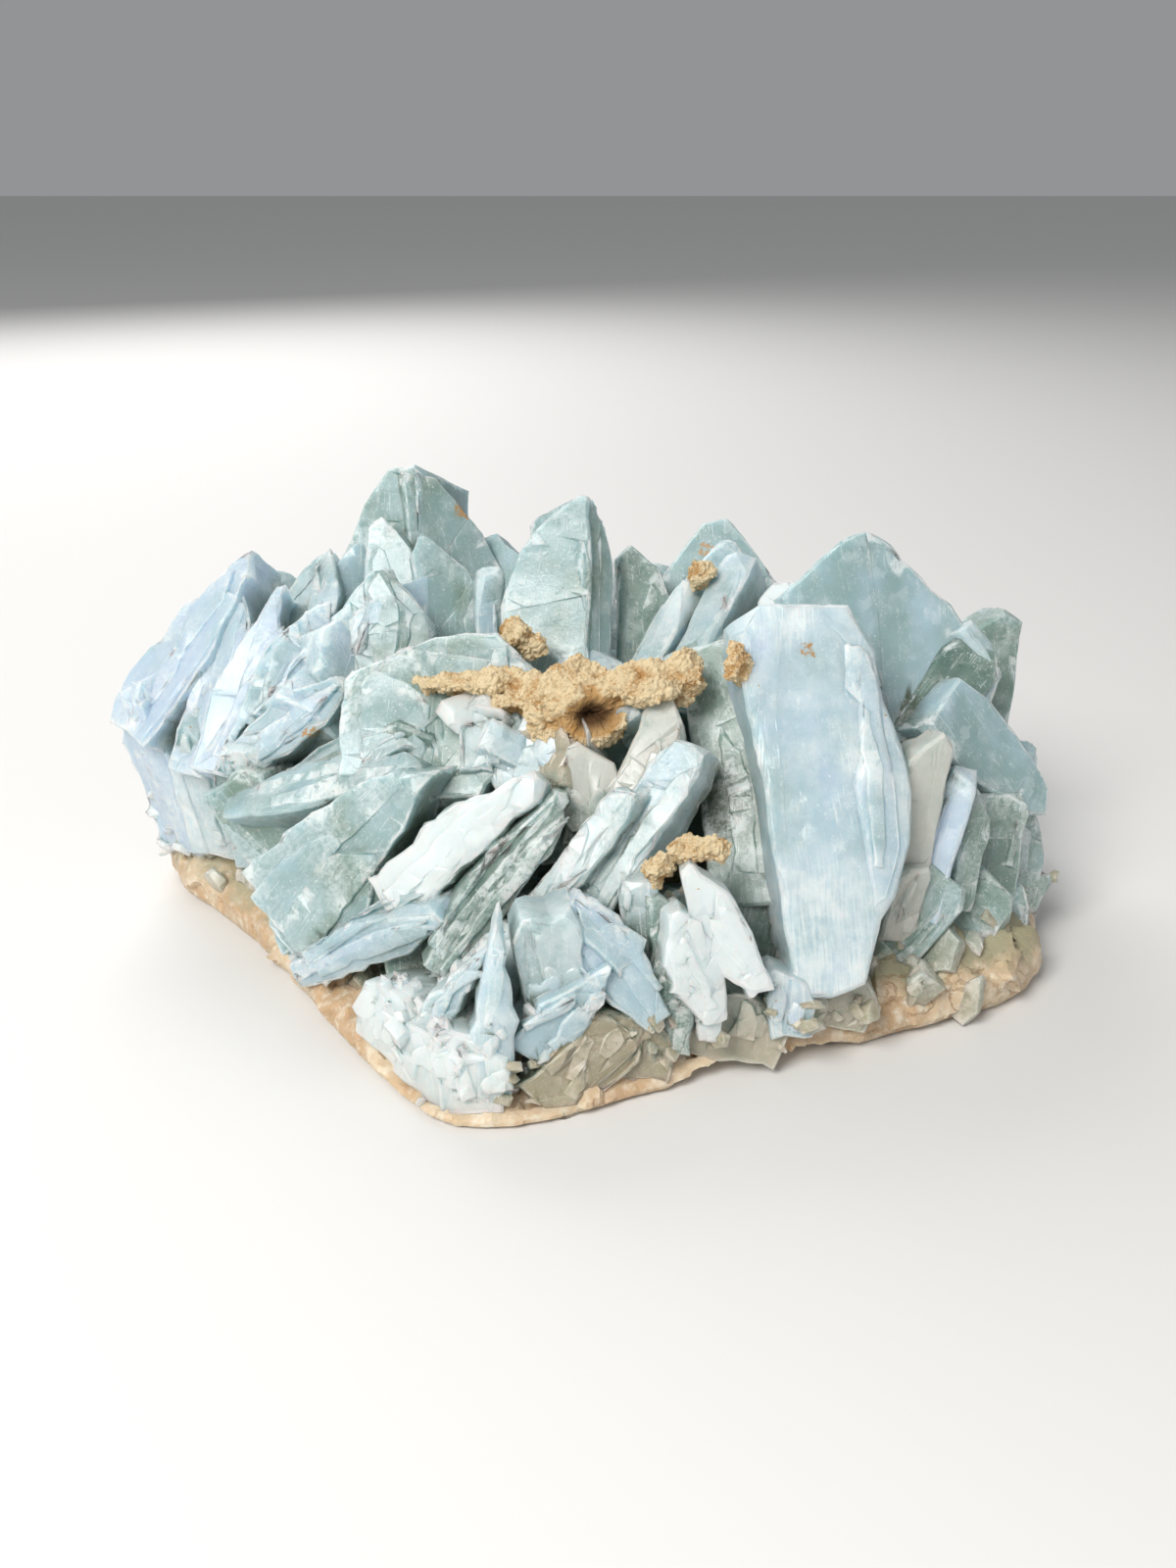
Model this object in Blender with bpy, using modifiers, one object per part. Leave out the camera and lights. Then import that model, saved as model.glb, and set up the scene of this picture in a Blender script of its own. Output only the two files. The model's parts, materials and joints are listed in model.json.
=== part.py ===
"""A cluster of blue barite crystals on its cream base rock, with small ochre crusts in the hollows.

Tabular crystals fan out from the middle of the specimen and grow through one another, so they are one solid.
The base rock is a smooth cushion, cut off flat where the specimen rests. The frame has its origin at the
middle of the bottom, +Z up, +X along the longest side, and the showy side looks towards -Y.
The whole is about 162 mm wide, 132 mm deep and 71 mm high. Sizes in the tables are millimetres.
"""

import math
from typing import NamedTuple

import bmesh
import bpy
from mathutils import Matrix, Vector, noise

MM = 0.001

# Crystals
RIM = 0.9 * MM  # chamfer along the rim of a broad face
RIM_SHARE = 0.22  # the chamfer is at most this share of a crystal's smaller side
WELD = 0.00001

# Base rock and crusts
GAP = 0.3 * MM  # room between pieces that touch
ROCK_LUMPS = 1.6 * MM
ROCK_LUMP_SIZE = 11 * MM
CRUST_LUMPS = 0.55  # share of a crust's radius
CRUST_LUMP_SIZE = 2.6 * MM
CRUST_DETAIL = 2

# Outlines of a broad face: across from -1 to 1, and along from the foot at 0 to the tip at 1
OUTLINES = {
    "slab": ((-0.9, 0), (0.9, 0), (1, 0.85), (0.7, 1), (-0.75, 0.97), (-1, 0.8)),
    "slant": ((-0.85, 0), (0.85, 0), (1, 0.62), (0.6, 0.8), (-0.55, 1), (-1, 0.9)),
    "roof": ((-0.8, 0), (0.8, 0), (1, 0.6), (0.2, 1), (-0.15, 0.98), (-1, 0.65)),
    "spear": ((-0.7, 0), (0.7, 0), (1, 0.45), (0.15, 1), (-0.1, 0.99), (-0.95, 0.4)),
    "blade": ((-0.5, 0), (0.5, 0), (0.95, 0.4), (1, 0.7), (0.35, 1), (-0.3, 0.96), (-1, 0.6), (-0.9, 0.3)),
    "shoulder": ((-1, 0), (0.6, 0), (0.45, 0.98), (0.25, 1), (-0.2, 0.97), (-0.6, 0.78), (-0.95, 0.5)),
    "shoulder_side": (
        (-0.6, 0), (1, 0), (1.15, 0.45), (0.9, 0.62), (0.45, 0.82), (0.15, 0.95), (-0.2, 1), (-0.5, 0.98),
    ),
    "dome": (
        (-0.75, 0), (0.6, 0), (0.3, 0.6), (0.1, 1), (-0.1, 1), (-0.5, 0.93), (-0.95, 0.7), (-1.1, 0.42),
    ),
    "dome_side": (
        (-0.8, 0), (0.6, 0), (1, 0.5), (1.1, 0.66), (0.8, 0.86), (0.25, 1), (-0.2, 1), (-0.5, 0.5),
    ),
    "peak": (
        (-0.8, 0), (0.8, 0), (1.1, 0.3), (0.72, 0.62), (0.25, 0.92), (0.05, 1), (-0.2, 0.97), (-0.85, 0.75),
    ),
    "kite": (
        (0.5, 0), (1, 0.1), (1.1, 0.3), (1.15, 0.75), (0.85, 1), (-0.8, 0.96), (-0.7, 0.64), (-0.25, 0.32),
        (0.05, 0.1),
    ),
    "front_plate": (
        (-0.45, 0.01), (-0.05, 0), (0.4, 0.03), (0.6, 0.18), (0.8, 0.23), (1, 0.35), (1.12, 0.47), (1.12, 0.6),
        (0.96, 0.72), (0.93, 0.86), (0.78, 0.92), (0.62, 0.99), (-0.45, 1), (-0.72, 0.97), (-0.78, 0.9),
        (-0.65, 0.66), (-0.6, 0.3),
    ),
    "ragged_plate": (
        (-0.1, 0), (0.4, 0.03), (0.9, 0.2), (1, 0.45), (0.95, 0.8), (0.5, 0.95), (-0.1, 1), (-0.4, 0.97),
        (-0.35, 0.8), (0.1, 0.74), (-0.1, 0.55), (-0.5, 0.42), (-0.35, 0.2),
    ),
    "lens": (
        (-0.7, 0), (0.5, 0), (0.95, 0.5), (1, 0.75), (0.54, 1), (0.2, 1), (-0.1, 0.97), (-0.45, 0.9),
        (-0.75, 0.82), (-1.03, 0.75), (-0.95, 0.4),
    ),
    "wing": (
        (0.1, 0), (0.65, 0.12), (0.85, 0.33), (0.3, 0.55), (0.3, 0.76), (0.05, 1), (-0.3, 0.9), (-0.75, 0.6),
        (-1.1, 0.35), (-0.9, 0.13), (-0.45, 0),
    ),
    "ragged": (
        (-0.1, 0), (0.55, 0.2), (0.5, 0.6), (0.3, 0.75), (0.45, 0.9), (0.2, 1), (-0.35, 1), (-0.6, 0.8),
        (-1.3, 0.6), (-1.4, 0.45), (-1.2, 0.35), (-1.5, 0.05),
    ),
    "flank": (
        (-0.5, 0), (0.9, 0), (1, 0.5), (0.6, 0.9), (0.15, 1), (-0.1, 0.98), (-0.35, 0.77), (-0.55, 0.55),
        (-0.9, 0.38), (-1.05, 0.22), (-0.85, 0.1),
    ),
}


class Crystal(NamedTuple):
    """A tabular crystal: foot and tip lie on its broad face, in millimetres, and face is where that looks."""

    name: str
    foot: tuple
    tip: tuple
    width: float
    thick: float
    face: tuple
    form: str
    mirrored: bool = False


# The row along the top, seen against the background
TOP_ROW = (
    Crystal("tall_back", (-34, 15, 43), (-32, 28, 71.5), 23, 17, (-0.3, -0.9, 0.3), "shoulder"),
    Crystal("tall_back_side", (-23, 15, 42), (-27, 28, 71), 20, 15, (0.45, -0.8, 0.4), "shoulder_side"),
    Crystal("back_block", (-34, 9, 46), (-32, 18, 65), 10, 7, (-0.1, -0.9, 0.4), "slant"),
    Crystal("back_step", (-20, 0, 32), (-24, 16, 63), 12, 9, (0.25, -0.85, 0.45), "slant"),
    Crystal("back_chip", (-16, 4, 42), (-16, 10, 58), 5, 7, (0.2, -0.9, 0.4), "slab"),
    Crystal("dome", (-6, -10, 42), (-1, 10, 70), 20, 14, (-0.25, -0.9, 0.35), "dome"),
    Crystal("dome_side", (1, -8, 42), (-1, 10, 69.5), 10, 14, (0.6, -0.75, 0.3), "dome_side"),
    Crystal("dark_tooth", (9, 0, 38), (9, 18, 60), 10, 9, (0, -0.85, 0.5), "slant"),
    Crystal("ridge", (25, 8, 34), (22, 28, 61), 25, 11, (0, -0.9, 0.4), "roof"),
    Crystal("ridge_front", (24, 2, 42), (24, 18, 60), 16, 9, (0.1, -0.8, 0.6), "roof"),
    Crystal("slab_low", (7, -5, 43), (17, 8, 56), 6, 9, (-0.45, -0.6, 0.7), "slab"),
    Crystal("slab_high", (14, -7, 44), (26, 10, 60), 6.5, 9, (-0.4, -0.65, 0.65), "slab"),
    Crystal("white_top", (31, -8, 48), (31, 1, 58), 8, 7, (-0.3, -0.8, 0.5), "slab"),
    Crystal("right_peak", (49, -16, 36), (44, 2, 66), 35, 15, (0.15, -0.85, 0.5), "peak"),
    Crystal("right_back", (66, 4, 28), (68, 12, 50), 13, 9, (0.3, -0.9, 0.3), "slant", True),
    Crystal("right_ledge", (60, -5, 53), (65, -7, 47), 4, 5, (0.3, -0.6, 0.75), "slab"),
    Crystal("right_under", (51, -16, 36), (63, -6, 50), 10, 7, (0.2, -0.7, 0.7), "slab"),
)

# The big plates on the right of the front
RIGHT_FRONT = (
    Crystal("front_plate", (34.5, -51, 13), (31, -19, 61), 25, 9, (0.1, -0.85, 0.5), "front_plate"),
    Crystal("front_layer", (40.5, -44, 23), (39.5, -22.5, 56.5), 9, 4, (0.1, -0.85, 0.5), "ragged_plate"),
    Crystal("side_plate", (23, -38, 20), (20, -14, 54), 13, 8, (-0.35, -0.85, 0.4), "slab"),
    Crystal("right_plate", (72, -17, 22), (54, -16.5, 44), 14, 8, (0.25, -0.75, 0.6), "kite"),
    Crystal("right_block", (64, -24, 8), (66, -18, 29), 10, 12, (0.2, -0.85, 0.45), "slab"),
    Crystal("right_wedge", (72, -18, 6), (72.5, -13, 26), 7, 12, (0.5, -0.8, 0.3), "slant"),
    Crystal("lavender_blade", (50, -35, 15), (56, -26, 37), 6, 7, (-0.3, -0.9, 0.3), "slab"),
    Crystal("grey_blade", (57, -31, 14), (61, -25, 33), 6, 7, (0.3, -0.9, 0.35), "slant"),
    Crystal("ragged_right", (64, -20, 4), (77, -14, 12), 8, 9, (0.4, -0.7, 0.6), "roof"),
    Crystal("green_left", (42, -37, 8), (54, -33, 22), 11, 8, (0.1, -0.8, 0.5), "slab"),
    Crystal("green_middle", (51, -33, 6), (65, -27, 17), 11, 8, (0.15, -0.75, 0.6), "slab"),
    Crystal("green_right", (61, -27, 6), (72, -21, 12), 10, 8, (0.3, -0.75, 0.6), "slant"),
    Crystal("yellow_gap", (48, -33, 22), (50, -28, 43), 8, 8, (0.1, -0.9, 0.4), "slant", True),
)

# The middle of the front, below and beside the sandy crust
MIDDLE_FRONT = (
    Crystal("clear_cream", (5, -35, 34), (14, -26, 49), 8, 8, (-0.2, -0.9, 0.4), "slant"),
    Crystal("long_slab", (-2, -46, 20), (15, -32, 44), 8, 8, (-0.35, -0.75, 0.55), "slab"),
    Crystal("slim_slab", (-8, -45, 22), (6, -38, 39), 6, 7, (-0.3, -0.8, 0.5), "slab"),
    Crystal("cream_small", (-16, -30, 38), (-16, -22, 49), 7, 6, (0, -0.9, 0.4), "roof"),
    Crystal("under_crust_left", (-4, -38, 26), (-10, -24, 46), 14, 10, (-0.1, -0.85, 0.5), "roof"),
    Crystal("under_crust_right", (0, -37, 28), (1, -30, 43), 10, 9, (0.1, -0.9, 0.4), "slant"),
    Crystal("upright", (8, -50, 18), (7, -47, 29), 6, 6, (0, -0.9, 0.4), "slab"),
    Crystal("dark_facet", (11, -51, 18), (11, -48, 28), 5, 6, (0.3, -0.9, 0.3), "slant"),
    Crystal("white_blade", (24, -56, 16), (13, -50, 33), 7.5, 8, (-0.1, -0.85, 0.5), "blade"),
)

# The fan of blades on the left
LEFT_FAN = (
    Crystal("lens", (-23, -31, 34), (-22, -12, 54), 31, 7, (-0.1, -0.9, 0.4), "lens"),
    Crystal("lens_under", (-33, -24, 32), (-16, -24, 43), 13, 8, (0, -0.8, 0.6), "blade"),
    Crystal("lens_ridge", (-34, -27, 38), (-20, -21.5, 44), 4, 6, (-0.1, -0.7, 0.7), "blade"),
    Crystal("fan_upper", (-58, -13, 30), (-38, -12, 47), 10, 8, (-0.1, -0.8, 0.6), "blade"),
    Crystal("fan_middle", (-49, -17, 28), (-25, -25, 43), 11, 8, (-0.2, -0.7, 0.65), "blade"),
    Crystal("fan_long", (-58, -17, 26), (-24, -31, 41), 9, 7, (-0.1, -0.6, 0.8), "blade"),
    Crystal("fan_big", (-46, -34, 10), (-23, -36, 41), 23, 9, (-0.25, -0.85, 0.45), "wing"),
    Crystal("milky", (-28, -42, 19), (-7, -38, 40.5), 11, 5, (0, -0.8, 0.6), "ragged"),
    Crystal("green_blade", (-21, -50, 15), (-3, -38, 39), 8, 9, (0.2, -0.9, 0.35), "blade"),
    Crystal("fan_shadow", (-48, -32, 9), (-25, -38, 27), 8, 8, (-0.1, -0.9, 0.4), "blade"),
    Crystal("ribbed", (-43, -36.5, 10), (-24, -42.5, 25), 3.5, 5, (0.1, -0.8, 0.6), "slab"),
    Crystal("low_left", (-45, -35, 6), (-20, -47, 23), 9, 10, (-0.2, -0.95, 0.1), "blade"),
    Crystal("grey_left", (-46, -22, 12), (-58, -15, 31), 13, 9, (-0.4, -0.85, 0.3), "slab"),
    Crystal("out_left", (-78.5, 1, 32), (-58.5, 16, 60), 16, 9, (-0.55, -0.65, 0.5), "flank"),
    Crystal("ridge_left", (-66, -8, 28), (-57, 12, 55.5), 9, 9, (-0.4, -0.8, 0.4), "slant"),
    Crystal("smooth_left", (-60, -12, 30), (-51, 10, 56), 12, 8, (-0.1, -0.9, 0.4), "spear"),
    Crystal("long_left", (-56, -14, 29), (-43, 6, 54), 11, 7, (0.2, -0.8, 0.55), "roof"),
    Crystal("thin_left", (-52, -10, 38), (-40, 3, 52), 5, 5, (0.35, -0.75, 0.55), "slab"),
    Crystal("crest_left", (-33, -7, 40), (-33, 4, 59), 18, 8, (0, -0.75, 0.65), "roof"),
    Crystal("white_left", (-49, 8, 44), (-46, 22, 59), 11, 9, (-0.2, -0.9, 0.3), "roof"),
    Crystal("square_left", (-36, -4, 46), (-33, 1, 55), 6, 5, (0.2, -0.8, 0.6), "slab"),
    Crystal("fibre_far", (-71, 3, 6), (-77.5, 2, 40), 13, 12, (-0.6, -0.75, 0.2), "roof"),
    Crystal("fibre_middle", (-64, -4, 9), (-66, -6, 37), 11, 12, (-0.35, -0.9, 0.2), "roof"),
    Crystal("fibre_near", (-55, -11, 10), (-56, -14, 35), 10, 12, (-0.3, -0.9, 0.2), "slab"),
)

# Low crystals along the bottom of the front
FRONT_FOOT = (
    Crystal("spike", (-13, -63.5, 4), (-12, -57, 30), 6.5, 5, (0.1, -1, 0.1), "spear"),
    Crystal("spike_left", (-24, -57, 9), (-13, -57, 26), 5, 6, (-0.2, -0.9, 0.4), "spear"),
    Crystal("granular_left", (-30, -53, 2.5), (-26, -53, 15), 15, 10, (-0.6, -0.75, 0.3), "roof"),
    Crystal("granular_front", (-16, -63.5, 2), (-17, -61, 16), 11, 9, (-0.2, -0.95, 0.2), "slant"),
    Crystal("granular_corner", (-24, -59.5, 2), (-21, -59, 13), 12, 9, (-0.5, -0.8, 0.3), "slab"),
    Crystal("wedge", (-9, -60, 9), (3, -56, 21), 9, 9, (0.3, -0.9, 0.3), "spear"),
    Crystal("wedge_root", (-7, -62.5, 2), (5, -57, 12), 11, 8, (0.2, -0.9, 0.3), "slab"),
    Crystal("root_band_left", (5, -58, 2.5), (6, -55, 14), 15, 8, (0.1, -0.9, 0.3), "slant"),
    Crystal("striated", (-4, -56, 12), (-6, -54, 28), 10, 9, (0.05, -0.85, 0.5), "slab"),
    Crystal("lip", (10, -57, 12), (-3, -51, 29), 9, 6, (0.1, -0.85, 0.5), "blade"),
    Crystal("grey_root", (11, -56, 6), (12, -52, 24), 8, 8, (-0.1, -0.9, 0.3), "roof"),
    Crystal("front_middle", (18, -57, 12), (12, -53, 28), 8.5, 7, (0.2, -0.9, 0.3), "blade"),
    Crystal("front_small", (17, -56, 8), (17, -55, 16), 5, 5, (0, -0.9, 0.3), "spear"),
    Crystal("root_band", (20, -53.5, 3), (22, -51, 14), 17, 8, (0.1, -0.9, 0.3), "roof"),
    Crystal("root_band_right", (35, -47.5, 5), (37, -46, 15), 14, 8, (0.1, -0.9, 0.3), "slant"),
    Crystal("grey_end", (29, -53, 7), (28, -51, 18), 7, 7, (0.1, -0.95, 0.2), "slant"),
    Crystal("cream_block", (47, -36, 12), (48, -35, 24), 7, 7, (0.2, -0.9, 0.3), "slab"),
)

# The sides and the back, which fan out in the same way
BACK_FAN = (
    Crystal("back_left_low", (-38, 22, 12), (-74, 30, 20), 16, 9, (-0.2, 0.5, 0.8), "blade"),
    Crystal("back_left", (-32, 18, 16), (-68, 34, 40), 18, 8, (-0.3, 0.55, 0.75), "roof"),
    Crystal("back_left_high", (-30, 16, 22), (-58, 30, 54), 16, 8, (-0.35, 0.7, 0.5), "spear"),
    Crystal("back_corner", (-26, 22, 14), (-54, 51, 30), 18, 8, (-0.2, 0.5, 0.8), "slant"),
    Crystal("back_corner_high", (-22, 18, 22), (-44, 44, 50), 17, 9, (-0.2, 0.7, 0.6), "roof"),
    Crystal("back_one", (-14, 22, 12), (-32, 60, 24), 20, 8, (0, 0.4, 0.85), "blade"),
    Crystal("back_two", (-10, 18, 20), (-24, 54, 43), 20, 9, (-0.1, 0.6, 0.75), "spear"),
    Crystal("back_three", (-4, 20, 14), (-4, 63, 30), 22, 8, (0.05, 0.45, 0.85), "roof"),
    Crystal("back_four", (4, 16, 22), (2, 50, 46), 18, 9, (0.1, 0.65, 0.7), "slant"),
    Crystal("back_five", (12, 22, 12), (24, 60, 22), 20, 8, (0.1, 0.4, 0.85), "blade"),
    Crystal("back_six", (16, 18, 20), (26, 54, 42), 20, 9, (0.15, 0.6, 0.75), "roof"),
    Crystal("back_seven", (24, 20, 12), (48, 52, 24), 19, 8, (0.2, 0.45, 0.8), "slant"),
    Crystal("back_eight", (26, 16, 22), (44, 44, 46), 17, 9, (0.25, 0.65, 0.65), "spear"),
    Crystal("right_side_low", (36, 12, 12), (70, 32, 20), 18, 9, (0.2, 0.4, 0.85), "blade"),
    Crystal("right_side", (36, 8, 18), (68, 26, 38), 18, 9, (0.3, 0.55, 0.75), "roof"),
    Crystal("right_side_front", (40, 0, 12), (80.1, 8, 24), 16, 10, (0.35, -0.2, 0.9), "slant"),
    Crystal("right_side_high", (40, 4, 22), (70, 14, 42), 16, 10, (0.4, -0.1, 0.85), "roof"),
    Crystal("top_left", (-40, 16, 30), (-42, 34, 58), 15, 9, (-0.2, 0.8, 0.5), "slant"),
    Crystal("top_middle", (-10, 16, 30), (-14, 38, 54), 18, 9, (0, 0.8, 0.5), "roof"),
    Crystal("top_right", (20, 18, 30), (14, 38, 52), 16, 9, (0.1, 0.8, 0.5), "slant", True),
    Crystal("top_far_right", (40, 10, 30), (50, 24, 52), 16, 9, (0.3, 0.7, 0.6), "roof"),
)

# Tilted crystals between the top row and the front ones
MIDDLE_TOP = (
    Crystal("middle_left", (-15, -17, 40), (-17, -1, 49), 16, 8, (0, -0.5, 0.85), "slab"),
    Crystal("middle_low", (1, -19, 40), (4, -3, 48.5), 17, 9, (0.05, -0.45, 0.9), "slant"),
    Crystal("middle_right", (18, -15, 40), (21, 0, 50), 17, 9, (0.1, -0.5, 0.85), "roof"),
    Crystal("middle_foot", (-16, -54, 10), (-13, -43, 24), 13, 8, (0, -0.6, 0.8), "slant"),
)

# The thick roots in the middle, which the others grow out of
ROOTS = (
    Crystal("root_left", (-34, -8, 10), (-56, -6, 38), 28, 22, (-0.6, -0.7, 0), "slab"),
    Crystal("root_fan", (-24, -26, 12), (-38, -22, 38), 30, 20, (-0.2, -0.9, 0), "slab"),
    Crystal("root_left_back", (-34, 16, 10), (-50, 22, 44), 32, 26, (-0.6, 0.6, 0), "slab"),
    Crystal("root_middle", (-14, 2, 10), (-18, 10, 48), 40, 26, (-0.1, -1, 0), "slant"),
    Crystal("root_crust", (-6, -14, 10), (-8, -12, 42), 34, 24, (0, -1, 0), "slant"),
    Crystal("root_back", (0, 30, 10), (0, 33, 36), 58, 22, (0, 1, 0), "slab"),
    Crystal("root_centre", (18, 0, 10), (18, 8, 49), 36, 26, (0.1, -1, 0), "slant", True),
    Crystal("root_right", (42, -2, 10), (52, 0, 44), 34, 28, (0.3, -0.9, 0), "slab"),
    Crystal("root_plate", (34, -24, 10), (38, -18, 38), 34, 22, (0.1, -1, 0), "slab"),
    Crystal("root_front", (-12, -42, 6), (-12, -38, 22), 38, 20, (0, -1, 0), "slab"),
    Crystal("root_front_right", (24, -42, 6), (26, -36, 20), 34, 18, (0.1, -1, 0), "slab"),
)

CRYSTALS = TOP_ROW + RIGHT_FRONT + MIDDLE_FRONT + LEFT_FAN + FRONT_FOOT + BACK_FAN + MIDDLE_TOP + ROOTS

# The base rock: its plan as seen from above with its share of the full height, and the rings that round its side
ROCK_PLAN = (
    (-15, -67, 0.3), (-6, -65, 0.3), (8, -58, 0.4), (24, -53, 0.45), (40, -47, 0.7), (52, -41, 1), (66, -36, 1),
    (73, -29, 1), (74, -12, 1), (69, 4, 0.8), (70, 18, 1.1), (60, 32, 0.9), (54, 43, 1.1), (38, 49, 0.8),
    (27, 57, 1.1), (10, 55, 0.8), (-5, 61, 1.1), (-22, 53, 0.8), (-36, 56, 1.2), (-50, 44, 0.8), (-64, 38, 1.1),
    (-68, 26, 0.8), (-79, 16, 1.1), (-76, 5, 1), (-62, -9, 0.95), (-48, -26, 0.8), (-41, -38, 0.55),
    (-30, -54, 0.3), (-22, -65, 0.3),
)
ROCK_MIDDLE = (0, -2, 0)
ROCK_RINGS = ((-5, 0.94), (2, 1.0), (8, 1.0), (15, 0.8))  # height, and share of the plan
ARCH_AT = (32, -60, -13)  # the hollow under the right of the front edge
ARCH_SIZE = (74, 52, 36)
ARCH_DETAIL = 2
FLOOR_WIDTH = 400 * MM  # the block below the flat spot, which cuts the rock off level
FLOOR_DEPTH = 40 * MM


class Crust(NamedTuple):
    """An ochre crust: its lumps, and the pits in it, each as a middle and a size in millimetres."""

    name: str
    lumps: tuple
    pits: tuple = ()


CRUSTS = (
    Crust(
        "ochre_crust_main",
        (
            ((-16, -18.5, 46.8), (22, 6, 4)),
            ((-3, -23, 46.5), (18, 11, 10)),
            ((7, -22, 48.5), (14, 8, 6)),
            ((14, -23, 50), (7, 7, 8)),
        ),
        (((1, -29.5, 46.5), (8, 8, 7)),),
    ),
    Crust("ochre_crust_ledge", (((-11.5, -9, 52.5), (5, 5, 4)), ((-9, -9.5, 50.5), (5, 5, 3)))),
    Crust("ochre_crust_plate", (((22, -25.5, 53), (4, 5, 6)),)),
    Crust("ochre_crust_hollow", (((15, -46, 33), (9, 5, 3.5)), ((9.5, -47, 30.5), (4, 5, 5)))),
    Crust("ochre_crust_ridge", (((18.5, 6.5, 57), (5, 5, 4)),)),
)


def millimetres(values):
    """A vector in metres from values in millimetres."""
    return Vector(values) * MM


def clear_scene():
    """Removes everything that the scene holds."""
    for old in list(bpy.data.objects):
        bpy.data.objects.remove(old, do_unlink=True)


def new_collection(name):
    """A collection in the scene."""
    collection = bpy.data.collections.new(name)
    bpy.context.scene.collection.children.link(collection)
    return collection


def new_material(name, colour, roughness):
    """A plain material with a colour and a roughness."""
    material = bpy.data.materials.new(name)
    material.use_nodes = True
    shader = material.node_tree.nodes["Principled BSDF"]
    shader.inputs["Base Color"].default_value = (*colour, 1)
    shader.inputs["Roughness"].default_value = roughness
    shader.inputs["Metallic"].default_value = 0
    material.diffuse_color = (*colour, 1)
    return material


def add_object(name, mesh, collection):
    """An object for a mesh, in a collection."""
    made = bpy.data.objects.new(name, mesh)
    collection.objects.link(made)
    return made


def as_helper(made):
    """Marks an object as one that only shapes others."""
    made.hide_render = True
    made.display_type = "WIRE"


def crystal_frame(crystal):
    """The matrix from a crystal's own frame to the specimen's: across, along, and out of the broad face."""
    foot, tip = millimetres(crystal.foot), millimetres(crystal.tip)
    along = (tip - foot).normalized()
    face = Vector(crystal.face)
    out = (face - along * face.dot(along)).normalized()
    across = along.cross(out)
    turn = Matrix((across, along, out)).transposed().to_4x4()
    return Matrix.Translation(foot - out * crystal.thick * MM / 2) @ turn


def crystal_outline(crystal):
    """The points of a crystal's broad face in its own frame."""
    foot, tip = millimetres(crystal.foot), millimetres(crystal.tip)
    length, half = (tip - foot).length, crystal.width * MM / 2
    side = -1 if crystal.mirrored else 1
    return [(side * s * half, t * length) for s, t in OUTLINES[crystal.form]]


def outline_mesh(name, points, thick, collection):
    """A mesh of a flat outline with a thickness, made from a filled curve."""
    curve = bpy.data.curves.new(name, "CURVE")
    curve.dimensions = "2D"
    curve.fill_mode = "BOTH"
    curve.extrude = thick / 2
    spline = curve.splines.new("POLY")
    spline.points.add(len(points) - 1)
    for point, (x, y) in zip(spline.points, points):
        point.co = (x, y, 0, 1)
    spline.use_cyclic_u = True
    guide = add_object(name + "_outline", curve, collection)
    bpy.context.view_layer.update()
    evaluated = guide.evaluated_get(bpy.context.evaluated_depsgraph_get())
    mesh = bpy.data.meshes.new_from_object(evaluated)
    bpy.data.objects.remove(guide, do_unlink=True)
    bpy.data.curves.remove(curve)
    return mesh


def chamfer_rim(shape, thick, offset):
    """Chamfers the rim of the broad face that looks out."""
    rim = []
    for edge in shape.edges:
        high = all(vertex.co.z > thick / 2 - WELD for vertex in edge.verts)
        turned = any(abs(face.normal.z) < 0.5 for face in edge.link_faces)
        if high and turned:
            rim.append(edge)
    bmesh.ops.bevel(shape, geom=rim, offset=offset, segments=1, affect="EDGES", clamp_overlap=True)


def make_crystal(crystal, collection):
    """A crystal as a closed mesh, in its place."""
    thick = crystal.thick * MM
    mesh = outline_mesh(crystal.name, crystal_outline(crystal), thick, collection)
    shape = bmesh.new()
    shape.from_mesh(mesh)
    bmesh.ops.remove_doubles(shape, verts=shape.verts, dist=WELD)
    bmesh.ops.recalc_face_normals(shape, faces=shape.faces)
    bmesh.ops.dissolve_limit(shape, angle_limit=math.radians(1), verts=shape.verts, edges=shape.edges)
    if crystal not in ROOTS:
        chamfer_rim(shape, thick, min(RIM, RIM_SHARE * min(thick, crystal.width * MM)))
    shape.transform(crystal_frame(crystal))
    shape.to_mesh(mesh)
    shape.free()
    made = add_object(crystal.name, mesh, collection)
    as_helper(made)
    return made


def ring_lump(point, direction, strength, size):
    """How far the rock swells at a point."""
    return direction * strength * noise.noise(point / size)


def make_rock(name, swell, collection):
    """The base rock, or a copy that is larger all round by swell."""
    shape = bmesh.new()
    centre = millimetres(ROCK_MIDDLE)
    rings = []
    for height, share in ROCK_RINGS:
        ring = []
        for x, y, high in ROCK_PLAN:
            level = millimetres((x, y, 0))
            out = (level - centre).normalized()
            point = centre + (level - centre) * share
            point += ring_lump(level + Vector((0, 0, height * MM)), out, ROCK_LUMPS, ROCK_LUMP_SIZE)
            point += out * swell
            point.z = max(height * high, min(height, 0)) * MM
            ring.append(shape.verts.new(point))
        rings.append(ring)
    count = len(ROCK_PLAN)
    for lower, upper in zip(rings, rings[1:]):
        for i in range(count):
            j = (i + 1) % count
            shape.faces.new((lower[i], lower[j], upper[j], upper[i]))
    shape.faces.new(list(reversed(rings[0])))
    lid = shape.faces.new(rings[-1])
    for vertex in lid.verts:
        vertex.co.z += swell
    bmesh.ops.poke(shape, faces=[lid])
    mesh = bpy.data.meshes.new(name)
    shape.to_mesh(mesh)
    shape.free()
    made = add_object(name, mesh, collection)
    smooth = made.modifiers.new("Rounding", "SUBSURF")
    smooth.levels = 1
    smooth.render_levels = 1
    return made


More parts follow.
